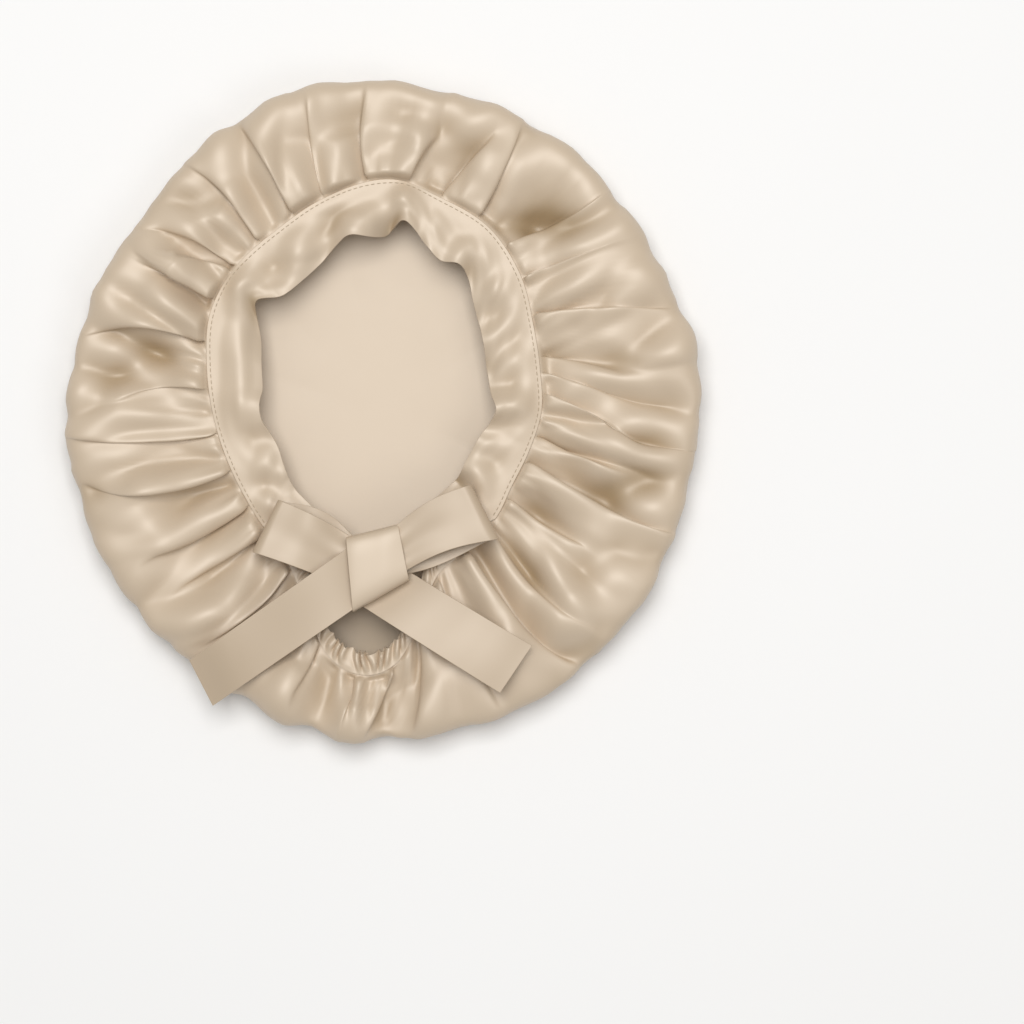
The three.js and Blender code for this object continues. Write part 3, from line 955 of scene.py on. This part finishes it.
    def roll_turn(self, share: np.ndarray) -> np.ndarray:
        """Finds how far a quarter of the rim's superellipse has turned at a share of its
        length, summed in small steps.

        Args:
            share: shares of the length, from 0 at the widest place to 1 at the crest.

        Returns:
            The turns, in radians.
        """
        turn = np.linspace(0, math.pi / 2, 400)
        across = self.roll_depth * bent(np.cos(turn), self.roll_square)
        up = self.roll_rise * bent(np.sin(turn), self.roll_square)
        length = np.append(0, np.cumsum(np.hypot(np.diff(across), np.diff(up))))
        return np.interp(share, length / length[-1], turn)

    def profile(self, station: np.ndarray, degrees: np.ndarray) -> tuple[np.ndarray, ...]:
        """Works out the crown's section without its folds.

        The rim is two quarters of a superellipse, a narrow one below its widest place and
        a wide one above it, stepped evenly along its length.

        Args:
            station: how far along the section the places are.
            degrees: the places' angles.

        Returns:
            The radius, the height, and the parts of the way out that lie along each.
        """
        rim, edge, top, edge_z = (section(n, degrees) for n in ("rim", "edge", "top", "edge_z"))
        swell = self.swell.at(self.crest_radius * np.radians(degrees), 0)
        top = top + self.swell_high * swell
        over = np.minimum(self.roll_depth, self.roll_share * (rim - edge))
        over = over * np.clip(1 + self.swell_deep * swell, *self.swell_limits)
        under = station < WIDEST
        rolled = (np.clip(station, WIDEST, CREST) - WIDEST) / (CREST - WIDEST)
        lower_turn = math.pi * (np.maximum(station, FLAT) - WIDEST)
        turn = np.where(under, lower_turn, self.roll_turn(rolled))
        depth = np.where(under, self.foot_depth, over)
        tall = np.where(under, self.roll_middle, top - self.roll_middle)
        across = np.clip(station - CREST, 0, 1)
        stretches = [station <= FLAT, station <= CREST]
        flat = (rim - self.foot_depth) * station
        roll = rim - depth + depth * bent(np.cos(turn), self.roll_square)
        ring = mix(rim - over, edge + self.seam_clear, across)
        radius = np.select(stretches, [flat, roll], ring)
        radius = radius - np.clip(station - SEAM, 0, 1) * (self.seam_clear + self.seam_lap)
        roll_z = self.roll_middle + tall * bent(np.sin(turn), self.roll_square)
        z = np.select(stretches, [0, roll_z], mix(top, edge_z, smooth(across)))
        out, up = np.cos(turn) / depth, np.sin(turn) / tall
        size = np.hypot(out, up)
        out = np.select(stretches, [0, out / size], 0)
        up = np.select(stretches, [-1, up / size], 1)
        return radius, z, out, up

    def surface(self) -> tuple[np.ndarray, np.ndarray]:
        """Works out the crown from the middle of its round to its sewn edge.

        The columns follow the creases on the ring and are even on the round; the folds
        move each place along its section's way out and a little round the head. Last,
        the rows are eased against each other, which keeps the creases sharp across.

        Returns:
            Rows by columns by 3 places of the outer face, and the painted shade at each place,
            from 0 to 1: how deep it lies in a fold, and the painted shadow behind the nape's gap.
        """
        station = self.stations()[:, None]
        before, share = self.columns()
        even = FOLDS[0].at + 360 * np.arange(len(before)) / len(before)
        lines = []
        for fold in FOLDS:
            radius = self.profile(station, np.array([[fold.at]]))[0]
            lines.append(self.crease(fold, radius)[0][:, 0])
        lines = np.array([*lines, lines[0] + 360]).T
        followed = mix(lines[:, before], lines[:, before + 1], share)
        degrees = mix(even, followed, ramp(station, *self.follow_span))
        radius, z, out, up = self.profile(station, degrees)
        part = ramp(station, *self.fold_span) * (station <= SEAM)
        rise, shift = self.folds_at(degrees, radius)
        run = self.side_radius * np.radians(degrees) + self.side_slant * station
        radius = radius - plateau(station, self.side_span) * self.side_wave.at(run, station)
        degrees = degrees + np.degrees(part * shift / radius)
        radius = radius + out * rise * part
        x, y = in_plan(degrees, radius)
        lift = plateau(station, self.floor_span) * np.abs(self.floor_lift.at(x, y))
        z = z + up * rise * part + lift
        # Painted shadow on the round seen through the gap at the nape, where it lies in shade
        # under the bow.
        (shade_x, shade_y), (wide, tall) = self.shade_at, self.shade_size
        shaded = bell((x - shade_x) / wide) * bell((y - shade_y) / tall) * (station <= FLAT)
        # Painted shade: darker in the troughs of the folds, where they dive under the next pleat,
        # plus the painted shadow at the nape.
        painted_shade = ramp(-rise, *self.painted_shade_span) * part + self.shade_deep * shaded
        points = around(degrees, radius, np.maximum(z, 0))
        eased = ramp(station, *self.ease_span) * (station < self.held_rows[1])
        ease_rows(points, eased[1:-1, :, None], self.ease_rounds)
        return points, painted_shade

    def settle(self, piece: bpy.types.Object, station: np.ndarray) -> None:
        """Lets the cloth settle in a simulation.

        The sheet is a little larger than its place, with air in it, held at the seam and
        on the floor. No point moves further than the cap, the move is eased over the
        cloth, and the rim and the rows next to the seam keep their lines.

        Args:
            piece: the crown.
            station: the station of each of its points.
        """
        held = piece.vertex_groups.new(name="held")
        still = (station < self.held_rows[0]) | (station > self.held_rows[1])
        held.add(np.flatnonzero(still).tolist(), 1.0, "REPLACE")
        start = np.empty(len(piece.data.vertices) * 3, np.float32)
        piece.data.vertices.foreach_get("co", start)
        cloth = piece.modifiers.new("settle", "CLOTH")
        for name, value in SETTLING.items():
            setattr(cloth.settings, name, value)
        cloth.settings.vertex_group_mass = held.name
        cloth.settings.effector_weights.gravity = self.settle_gravity
        cloth.collision_settings.use_collision = False
        scene = bpy.context.scene
        for clock in (scene, cloth.point_cache):
            clock.frame_start, clock.frame_end = 1, self.settle_frames
        for frame in range(1, self.settle_frames + 1):
            scene.frame_set(frame)
        settled = piece.evaluated_get(bpy.context.evaluated_depsgraph_get()).to_mesh()
        moved = np.empty_like(start)
        settled.vertices.foreach_get("co", moved)
        piece.modifiers.remove(cloth)
        step = (moved - start).reshape(-1, 3)
        far = np.linalg.norm(step, axis=1, keepdims=True)
        log.info("crown settled: mean %.2f mm, most %.2f mm", far.mean() / MM, far.max() / MM)
        step = step * np.minimum(1, self.move_cap * MM / np.maximum(far, 1e-9))
        step = self.move_share * step * plateau(station, self.free_span)[:, None]
        field_of_moves = step[:-1].reshape(len(self.stations()), -1, 3)
        ease_rows(field_of_moves, 1, self.settle_rounds)
        ease_rows(field_of_moves.transpose(1, 0, 2), 1, self.settle_rounds)
        place = start.reshape(-1, 3) + step
        place[:, 2] = np.maximum(place[:, 2], 0)
        piece.data.vertices.foreach_set("co", place.ravel())
        piece.data.update()
        scene.frame_set(1)
        piece.vertex_groups.clear()

    def build(self, finish: bpy.types.Material) -> bpy.types.Object:
        """Makes the crown, settles its cloth and dresses it.

        Args:
            finish: its material.

        Returns:
            The crown.
        """
        points, painted_shade = self.surface()
        piece = grid_mesh("crown_cloth", points, closed=True, pole=np.zeros(3))
        # The crown's painted shade, none at the pole.
        shade(piece, np.append(painted_shade, 0))
        self.settle(piece, np.append(np.repeat(self.stations(), points.shape[1]), 0))
        thicken(piece, self.wall, -1, rounded=False)
        cut = {"flat": (0.49, 0.49), "area": 0.1886, "held": "gathered"}
        return dress(piece, finish, "crown", Slot.CROWN, **cut)


class Tie(NamedTuple):
    """An end of the band: where its free and its sewn edge end in plan, and its waves."""

    top: Pair
    low: Pair
    wave: Wrinkle


@dataclass
class Band:
    """The doubled strip sewn round the mouth, its free edge waving, its ends the ties."""

    wall: float = 0.9
    width: float = 28
    first: float = -44
    last: float = 224
    columns: int = 620
    steps: int = 16
    seam_gap: float = 0.15
    lip: Pair = (0.45, 0.025)
    puff: float = 0.24
    slack_ease: float = 5
    easing: tuple[Pair, ...] = ((0.25, -1.6), (0.5, 0), (0.25, 1.6))
    fine: Wrinkle = Wrinkle(0.22, 14, 21, 9, pace=40)
    fine_growth: Pair = (0.25, 1)
    fine_rise: float = 0.25
    billow: Wrinkle = Wrinkle(1.6, 30, 22, pace=22)
    billow_rise: float = 0.625
    crisp: Wrinkle = Wrinkle(1, 38, 23, pace=26, crease=0.3, level=0.85)
    crisp_rise: float = 1 / 3
    # The depth of a ruffle's trough at which its painted shade is full.
    painted_shade_depth: float = 7
    tie_steps: int = 44
    tie_z: float = 24.2
    tie_rise: float = 0.5
    tie_run: float = 10
    right_tie: Tie = Tie((4, -64), (8, -79), Wrinkle(0.7, 16, 31, pace=30))
    left_tie: Tie = Tie((-12, -71), (-10, -90), Wrinkle(0.7, 16, 32, pace=30))

    def ruffle(self, degrees: np.ndarray) -> np.ndarray:
        """Works out the band's soft ruffles, which grow from the seam to the free edge.

        Args:
            degrees: where the rows are.

        Returns:
            Their heights: rows by points across.
        """
        v = np.linspace(0, 1, self.steps + 1)
        run = (np.radians(degrees) * section("edge", degrees))[:, None]
        fine = self.fine.at(run, v) * mix(*self.fine_growth, v) * ramp(v, 0, self.fine_rise)
        billow = self.billow.at(run, v) * ramp(v, 0, self.billow_rise)
        return fine + billow + self.crisp.at(run, v) * ramp(v, 0, self.crisp_rise)

    def row(self, degrees: np.ndarray) -> np.ndarray:
        """Works out rows of points across the band, from the seam to the free edge.

        The row goes straight in from the seam, and the width that this leaves over
        stands up as half a sine wave, as high as the root of three eighths of its span
        times the spare width, and less by the puff.

        Args:
            degrees: where the rows are.

        Returns:
            Rows by points across by 3.
        """
        v = np.linspace(0, 1, self.steps + 1)
        a = degrees[:, None]
        edge = section("edge", a)
        mouth = sum(share * read_chart(WAVES, "mouth", a + off) for share, off in self.easing)
        foot = section("edge_z", a) + self.seam_gap + self.wall / 2
        slack = self.width - edge + mouth
        spare = 0.5 * (slack + np.hypot(slack, self.slack_ease))
        puff = self.puff * np.sqrt(3 / 8 * (edge - mouth) * spare)
        z = foot + read_chart(WAVES, "lift", a) * v**1.5 + puff * np.sin(math.pi * v)
        z = z + self.ruffle(degrees) + self.lip[0] * bell(v / self.lip[1] - 1)
        return around(a, mix(edge, mouth, v), z)

    def run_tie(self, start: np.ndarray, tie: Tie) -> np.ndarray:
        """Runs the band's end on from its last row to the side of the knot.

        Args:
            start: the last row.
            tie: where the end goes.

        Returns:
            Rows by points across by 3, without the start.
        """
        u = (np.arange(self.tie_steps) + 1)[:, None] / self.tie_steps
        v = np.linspace(0, 1, len(start))
        x, y = (mix(start[:, k], mix(tie.low[k], tie.top[k], v), u) for k in (0, 1))
        z = mix(start[:, 2], self.tie_z, ramp(u, 0, self.tie_rise))
        z = z + smooth(u) * tie.wave.at(self.tie_run * u, v)
        return np.stack(np.broadcast_arrays(x, y, z), -1)

    def build(self, finish: bpy.types.Material) -> bpy.types.Object:
        """Makes the band with its ties and dresses it.

        Args:
            finish: its material.

        Returns:
            The band.
        """
        degrees = np.linspace(self.first, self.last, self.columns + 1)
        sewn = self.row(degrees)
        right = self.run_tie(sewn[0], self.right_tie)
        left = self.run_tie(sewn[-1], self.left_tie)
        piece = grid_mesh("band_cloth", np.concatenate([right[::-1], sewn, left]), flip=True)
        # Painted shade in the troughs of the band's ruffles, where its cloth dives; none on the
        # ties.
        plain = np.zeros(right.shape[:2])
        low = smooth(-self.ruffle(degrees) / self.painted_shade_depth)
        shade(piece, np.concatenate([plain, low, plain]))
        thicken(piece, self.wall)
        cut = {"flat": (0.03, 0.52), "held": "gathered", "rests_on": ["crown"]}
        return dress(piece, finish, "band", Slot.BAND, **cut)


@dataclass
class NapeCasing:
    """The narrow casing on the crown's edge, drawn up by its elastic into tight ripples."""

    wall: float = 1.0
    first: float = 235
    last: float = 303
    width: float = 11
    drop: float = 1.2
    ripple_length: float = 4.5
    ripple_height: float = 1.3
    ripple_reach: float = 0.9
    ripple_rise: float = 0.625
    unevenness: Wrinkle = Wrinkle(0.35, 15, 41, pace=6)
    tightness: Pair = (0.45, 1.2)
    tight_width: float = 12
    columns: int = 420
    steps: int = 12
    seam_gap: float = 0.1

    def build(self, finish: bpy.types.Material) -> bpy.types.Object:
        """Makes the casing, its ripples a sine wave along its run that is highest at the
        nape, and dresses it.

        Args:
            finish: its material.

        Returns:
            The casing.
        """
        degrees = np.linspace(self.first, self.last, self.columns + 1)
        v = np.linspace(0, 1, self.steps + 1)
        edge = section("edge", degrees)
        run = np.append(0, np.cumsum(np.radians(np.diff(degrees)) * edge[1:]))[:, None]
        ripple = np.sin(FULL_TURN * (run / self.ripple_length + self.unevenness.at(run, v)))
        tight = mix(*self.tightness, bell((degrees - NAPE) / self.tight_width))[:, None]
        z = section("edge_z", degrees)[:, None] + self.seam_gap + self.wall / 2
        height = self.ripple_height * tight * ramp(v, 0, self.ripple_rise)
        z = z + height * (1 + ripple) - self.drop * v * v
        radius = edge[:, None] - self.width * v + self.ripple_reach * tight * ripple * v
        piece = grid_mesh("casing_cloth", around(degrees[:, None], radius, z), flip=True)
        thicken(piece, self.wall)
        cut = {"flat": (0.012, 0.2), "held": "gathered", "rests_on": ["crown"]}
        return dress(piece, finish, "elastic_casing", Slot.BAND, **cut)


@dataclass
class Ribbon:
    """A flat length of doubled ribbon between two ends seen from above."""

    name: str
    node: str
    near: tuple[Pair, Pair]
    far: tuple[Pair, Pair]
    wave: Wrinkle
    bulge: Pair = (0, 0)
    width: float = 30
    wall: float = 0.9
    across: int = 22

    def plan(self, along: np.ndarray) -> np.ndarray:
        """Lays rows of points across the ribbon in plan, bulging as half a sine wave.

        Args:
            along: where the rows are, from 0, near, to 1, far.

        Returns:
            Rows by points across by 3, at no height.
        """
        v = np.linspace(0, 1, self.across + 1)[:, None]
        near, far = (mix(np.array(end[0]), np.array(end[1]), v) for end in (self.near, self.far))
        u = along[:, None, None]
        flat = mix(near, far, u) + np.sin(math.pi * u) * np.array(self.bulge)
        return np.concatenate([flat, np.zeros((*flat.shape[:2], 1))], -1)

    def length(self) -> float:
        """Returns the plan's length along its middle."""
        near, far = (np.mean(np.array(end), 0) for end in (self.near, self.far))
        return float(np.linalg.norm(far - near))

    def sew(
        self, points: np.ndarray, finish: bpy.types.Material, length: float, **cut: object
    ) -> bpy.types.Object:
        """Makes the ribbon from its middle surface and dresses it.

        Args:
            points: rows by points across by 3, without the soft waves.
            finish: its material.
            length: its flat length in millimetres.
            cut: how it is held and what it rests on.

        Returns:
            The ribbon.
        """
        piece = grid_mesh(self.name, points, flip=True)
        thicken(piece, self.wall)
        flat = (self.width * MM, length * MM)
        return dress(piece, finish, self.node, Slot.RIBBON, flat=flat, **cut)


@dataclass
class Loop(Ribbon):
    """A loop of the bow: out from the knot on top, round a soft bend and back below."""

    back_shift: Pair = (0, 0)
    near_z: Pair = (27, 32)
    far_z: Pair = (26, 35)
    ply_steps: int = 40
    bend_steps: int = 22
    rise_share: float = 1 / 1.4
    pinch: float = 0.8
    pinch_reach: float = 0.3
    pleats: float = 1.7
    pleat_shift: float = 0.13
    flat_lengths: float = 2.1

    def build(self, finish: bpy.types.Material) -> bpy.types.Object:
        """Makes the loop, two plies and half a circle between them, pinched in pleats next
        to the knot, and dresses it.

        Args:
            finish: its material.

        Returns:
            The loop.
        """
        half = (self.far_z[1] - self.far_z[0]) / 2
        middle = (self.far_z[1] + self.far_z[0]) / 2
        bend = half / self.length()
        u = np.linspace(0, 1, self.ply_steps)
        turn = np.linspace(0, math.pi, self.bend_steps)[1:-1]
        ply = (1 - bend) * u
        along = np.concatenate([ply, 1 - bend + bend * np.sin(turn), ply[::-1]])
        rise = ramp(u, 0, self.rise_share)
        low, top = (mix(near, far, rise) for near, far in zip(self.near_z, self.far_z))
        z = np.concatenate([top, middle + half * np.cos(turn), low[::-1]])[:, None]
        back = np.concatenate([np.zeros(len(u) + len(turn)), np.sin(math.pi * u[::-1])])
        v = np.linspace(0, 1, self.across + 1)
        pleat = np.sin(FULL_TURN * (self.pleats * v + self.pleat_shift * self.wave.seed))
        z = z + self.pinch * np.exp(-along / self.pinch_reach)[:, None] * pleat
        points = self.plan(along)
        points[..., :2] += back[:, None, None] * np.array(self.back_shift)
        points[..., 2] = z + self.wave.at(self.length() * along[:, None], v)
        flat = self.flat_lengths * self.length()
        return self.sew(points, finish, flat, held="folded", rests_on=["band", "crown"])


@dataclass
class Tail(Ribbon):
    """A tail of the bow, laid over the crown's folds."""

    heights: tuple[Pair, ...] = ()
    tilt: float = 0
    tilt_rise: float = 2 / 3
    rows: int = 70
    evening: int = 6

    def build(self, finish: bpy.types.Material) -> bpy.types.Object:
        """Makes the tail, its height read along it, evened over its neighbours and gently
        waved, and dresses it.

        Args:
            finish: its material.

        Returns:
            The tail.
        """
        along = np.linspace(0, 1, self.rows)
        v = np.linspace(0, 1, self.across + 1)
        z = np.pad(np.interp(along, *np.array(self.heights).T), self.evening, mode="edge")
        window = 2 * self.evening + 1
        z = np.convolve(z, np.ones(window) / window, "valid")
        tilt = self.tilt * (v - 0.5) * ramp(along, 0, self.tilt_rise)[:, None]
        points = self.plan(along)
        points[..., 2] = z[:, None] + tilt + self.wave.at(self.length() * along[:, None], v)
        return self.sew(points, finish, self.length(), held="laid", rests_on=["crown"])


BOW_RIBBONS = (
    Loop(
        name="loop_left",
        node="bow_loop_left",
        near=((-13, -65), (-10, -93)),
        far=((-51.5, -45), (-64.5, -71)),
        wave=Wrinkle(0.45, 30, 51, pace=30),
        bulge=(0.5, 1.2),
        back_shift=(1.5, 3.5),
        near_z=(26.6, 30.4),
        far_z=(26.4, 34),
    ),
    Loop(
        name="loop_right",
        node="bow_loop_right",
        near=((4, -60.5), (8, -82.5)),
        far=((44, -37.5), (58, -64.5)),
        wave=Wrinkle(0.45, 30, 52, pace=30),
        bulge=(-1.2, 3),
        back_shift=(-1, -6),
        near_z=(27.6, 33.6),
        far_z=(26.8, 36.4),
    ),
    Tail(
        name="tail_left",
        node="bow_tail_left",
        near=((-13, -66), (-10, -96.5)),
        far=((-96.2, -125), (-85, -148)),
        wave=Wrinkle(0.4, 55, 53, pace=30),
        heights=((0, 31.4), (0.12, 34.4), (0.35, 36), (0.75, 35), (0.88, 32), (1, 25.5)),
        tilt=-5,
    ),
    Tail(
        name="tail_right",
        node="bow_tail_right",
        near=((12, -80), (-12, -97)),
        far=((74.7, -117.5), (58.8, -141)),
        wave=Wrinkle(0.4, 55, 54, pace=30),
        heights=((0, 25), (0.25, 32.5), (0.6, 37), (0.85, 37.2), (1, 35.5)),
    ),
)


@dataclass
class Knot:
    """The ribbon wrapped round the middle of the bow."""

    wall: float = 0.9
    left_top: Pair = (-18, -63.5)
    right_top: Pair = (8, -57)
    right_low: Pair = (13.5, -85)
    left_low: Pair = (-14.5, -101)
    middle_z: float = 29
    half_height: float = 8.2
    side_drop: float = 0.12
    squareness: float = 4
    pleat: float = 0.15
    pleat_turns: Pair = (1.6, 0.4)
    round_steps: int = 96
    steps: int = 28

    def build(self, finish: bpy.types.Material) -> bpy.types.Object:
        """Makes the knot: a superellipse lofted from side to side, lower towards its sides
        and softly pleated on top. Then it dresses it.

        Args:
            finish: its material.

        Returns:
            The knot.
        """
        u = np.linspace(0, 1, self.steps + 1)[:, None]
        turn = FULL_TURN * np.arange(self.round_steps) / self.round_steps
        v = 0.5 - 0.5 * bent(np.cos(turn), 2 / self.squareness)
        top = mix(np.array(self.left_top), np.array(self.right_top), u)
        low = mix(np.array(self.left_low), np.array(self.right_low), u)
        plan = mix(top[:, None], low[:, None], v[:, None])
        height = self.half_height * (1 - self.side_drop * np.abs(2 * u - 1) ** 3)
        z = self.middle_z + height * bent(np.sin(turn), 2 / self.squareness)
        pleats = np.sin(FULL_TURN * (self.pleat_turns[0] * u + self.pleat_turns[1] * v))
        z = z + self.pleat * pleats * (np.sin(turn) > 0)
        points = np.concatenate([plan, z[..., None]], -1)
        piece = grid_mesh("knot_cloth", np.concatenate([points, points[:, :1]], 1))
        thicken(piece, self.wall, -1)
        cut = {"flat": (0.03, 0.1), "held": "folded", "rests_on": ["band"]}
        return dress(piece, finish, "bow_knot", Slot.RIBBON, **cut)


@dataclass
class Stitching:
    """The topstitch that holds the band to the crown, just inside the band's outer edge."""

    band: Band = field(default_factory=Band)
    inset: float = 1.9
    pitch: float = 3.0
    stitch: float = 2.3
    thick: float = 0.36
    sink: float = 0.8
    blunt: float = 0.15
    samples: int = 6000
    rings: int = 5
    sides: int = 6

    def line(self) -> np.ndarray:
        """Follows the band's outer face at the inset from its edge.

        Returns:
            Points by 3.
        """
        rows = self.band.row(np.linspace(self.band.first, self.band.last, self.samples))
        share = self.inset / self.band.width * self.band.steps
        k = int(share)
        line = mix(rows[:, k], rows[:, k + 1], share - k)
        line[:, 2] += self.band.wall / 2
        return line

    def build(self, finish: bpy.types.Material) -> bpy.types.Object:
        """Makes the stitches, one small spindle repeated along the run and sunk at its
        ends, and dresses them.

        Args:
            finish: the thread's material.

        Returns:
            The stitches, as one mesh.
        """
        line = self.line()
        run = np.append(0, np.cumsum(np.linalg.norm(np.diff(line, axis=0), axis=1)))
        count = int(run[-1] / self.pitch)
        along = np.linspace(-1, 1, self.rings)
        where = ((np.arange(count) + 0.5) * self.pitch)[:, None] + self.stitch / 2 * along
        middle = np.stack([np.interp(where, run, line[:, axis]) for axis in range(3)], -1)
        middle[..., 2] += self.thick * (0.5 - self.sink * along**4)
        ahead = np.gradient(middle, axis=1)
        ahead /= np.linalg.norm(ahead, axis=-1, keepdims=True)
        side = np.cross(ahead, [0, 0, 1])
        up = np.cross(side, ahead)
        turn = (FULL_TURN * np.arange(self.sides) / self.sides)[:, None]
        ring = side[:, :, None] * np.cos(turn) + up[:, :, None] * np.sin(turn)
        girth = self.thick / 2 * np.sqrt(np.maximum(1 - along**6, self.blunt))
        points = middle[:, :, None] + ring * girth[:, None, None]
        number = np.arange(points[..., 0].size).reshape(points.shape[:3])
        beside = np.roll(number, -1, axis=2)
        walls = np.stack([number[:, :-1], beside[:, :-1], beside[:, 1:], number[:, 1:]], -1)
        caps = [*number[:, 0, ::-1].tolist(), *number[:, -1].tolist()]
        faces = walls.reshape(-1, 4).tolist() + caps
        piece = mesh_object("band_stitches", points.reshape(-1, 3), faces)
        piece.data.materials.append(finish)
        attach(piece, "root")
        return piece


class Lamp(NamedTuple):
    """A square area light: its place and size in metres, its power and its colour."""

    name: str
    place: Triple
    size: float
    power: float
    colour: Triple


@dataclass
class Studio:
    """The pale floor, the soft lights and the camera straight above."""

    floor_half: float = 3000
    pixel: float = 0.5
    middle: Pair = (382.5, 410)
    camera_height: float = 1900
    focus_height: float = 26
    sensor: float = 36
    clip: Pair = (0.1, 20)
    sky: Triple = (1, 0.99, 0.97)
    background: float = 0.36
    aim: Triple = (0, 0, 0.02)
    lamps: tuple[Lamp, ...] = (
        Lamp("overhead", (-0.1, 0.5, 2.15), 1.3, 35, (1, 0.995, 0.985)),
        Lamp("side", (0.9, -0.6, 1.6), 0.9, 4, (1, 0.985, 0.97)),
    )

    def lay_floor(self) -> None:
        """Lays the floor, which isn't part of the object."""
        signs = np.array([(-1, -1, 0), (1, -1, 0), (1, 1, 0), (-1, 1, 0)])
        floor = mesh_object("studio_floor", signs * self.floor_half, [[0, 1, 2, 3]])
        floor.data.materials.append(FloorFinish().make())

    def light(self, lamp: Lamp) -> None:
        """Adds an area light that faces the bonnet.

        Args:
            lamp: the light's row.
        """
        made = bpy.data.lights.new(lamp.name, "AREA")
        made.size, made.energy, made.color = lamp.size, lamp.power, lamp.colour
        stand = bpy.data.objects.new(lamp.name, made)
        stand.location = lamp.place
        aim = Vector(self.aim) - Vector(lamp.place)
        stand.rotation_euler = aim.to_track_quat("-Z", "Y").to_euler()
        bpy.context.scene.collection.objects.link(stand)

    def set_camera(self) -> None:
        """Sets the camera straight above, so that the frame's pixels have their size on the
        bonnet and the photographed middle of its mouth is in its place."""
        camera = bpy.data.cameras.new("camera")
        camera.sensor_width = self.sensor
        drop = self.camera_height - self.focus_height
        camera.lens = self.sensor * drop / (self.pixel * FRAME_PIXELS)
        camera.clip_start, camera.clip_end = self.clip
        stand = bpy.data.objects.new("camera", camera)
        x = (FRAME_PIXELS / 2 - self.middle[0]) * self.pixel
        y = (self.middle[1] - FRAME_PIXELS / 2) * self.pixel
        stand.location = (x * MM, y * MM, self.camera_height * MM)
        bpy.context.scene.collection.objects.link(stand)
        bpy.context.scene.camera = stand

    def build(self) -> None:
        """Lays the floor, lights it and sets the camera."""
        self.lay_floor()
        world = bpy.data.worlds.new("studio")
        world.use_nodes = True
        sky = {0: (*self.sky, 1), 1: self.background}
        Nodes(world.node_tree).feed(world.node_tree.nodes["Background"].inputs, sky)
        bpy.context.scene.world = world
        bpy.context.scene.view_settings.view_transform = "Standard"
        for lamp in self.lamps:
            self.light(lamp)
        self.set_camera()


def main() -> None:
    """Builds the studio and then the bonnet from its crown up to its bow."""
    logging.basicConfig(level=logging.INFO, format="%(name)s: %(message)s")
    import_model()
    Studio().build()
    surface = satin_group()
    satin = SatinFinish().make(surface)
    thread = ThreadFinish().make()
    # The loops and tails take the darker copy of the satin, with its painted shade.
    ribbon = SHADED_RIBBON_SATIN.make(surface)
    makers = [(Crown(), satin), (Band(), satin), (NapeCasing(), satin), (Stitching(), thread)]
    makers += [(maker, ribbon) for maker in BOW_RIBBONS]
    makers.append((Knot(), satin))
    for maker, finish in makers:
        piece = maker.build(finish)
        log.info("%s: %d faces", piece.name, len(piece.data.polygons))


if __name__ == "__main__":
    main()
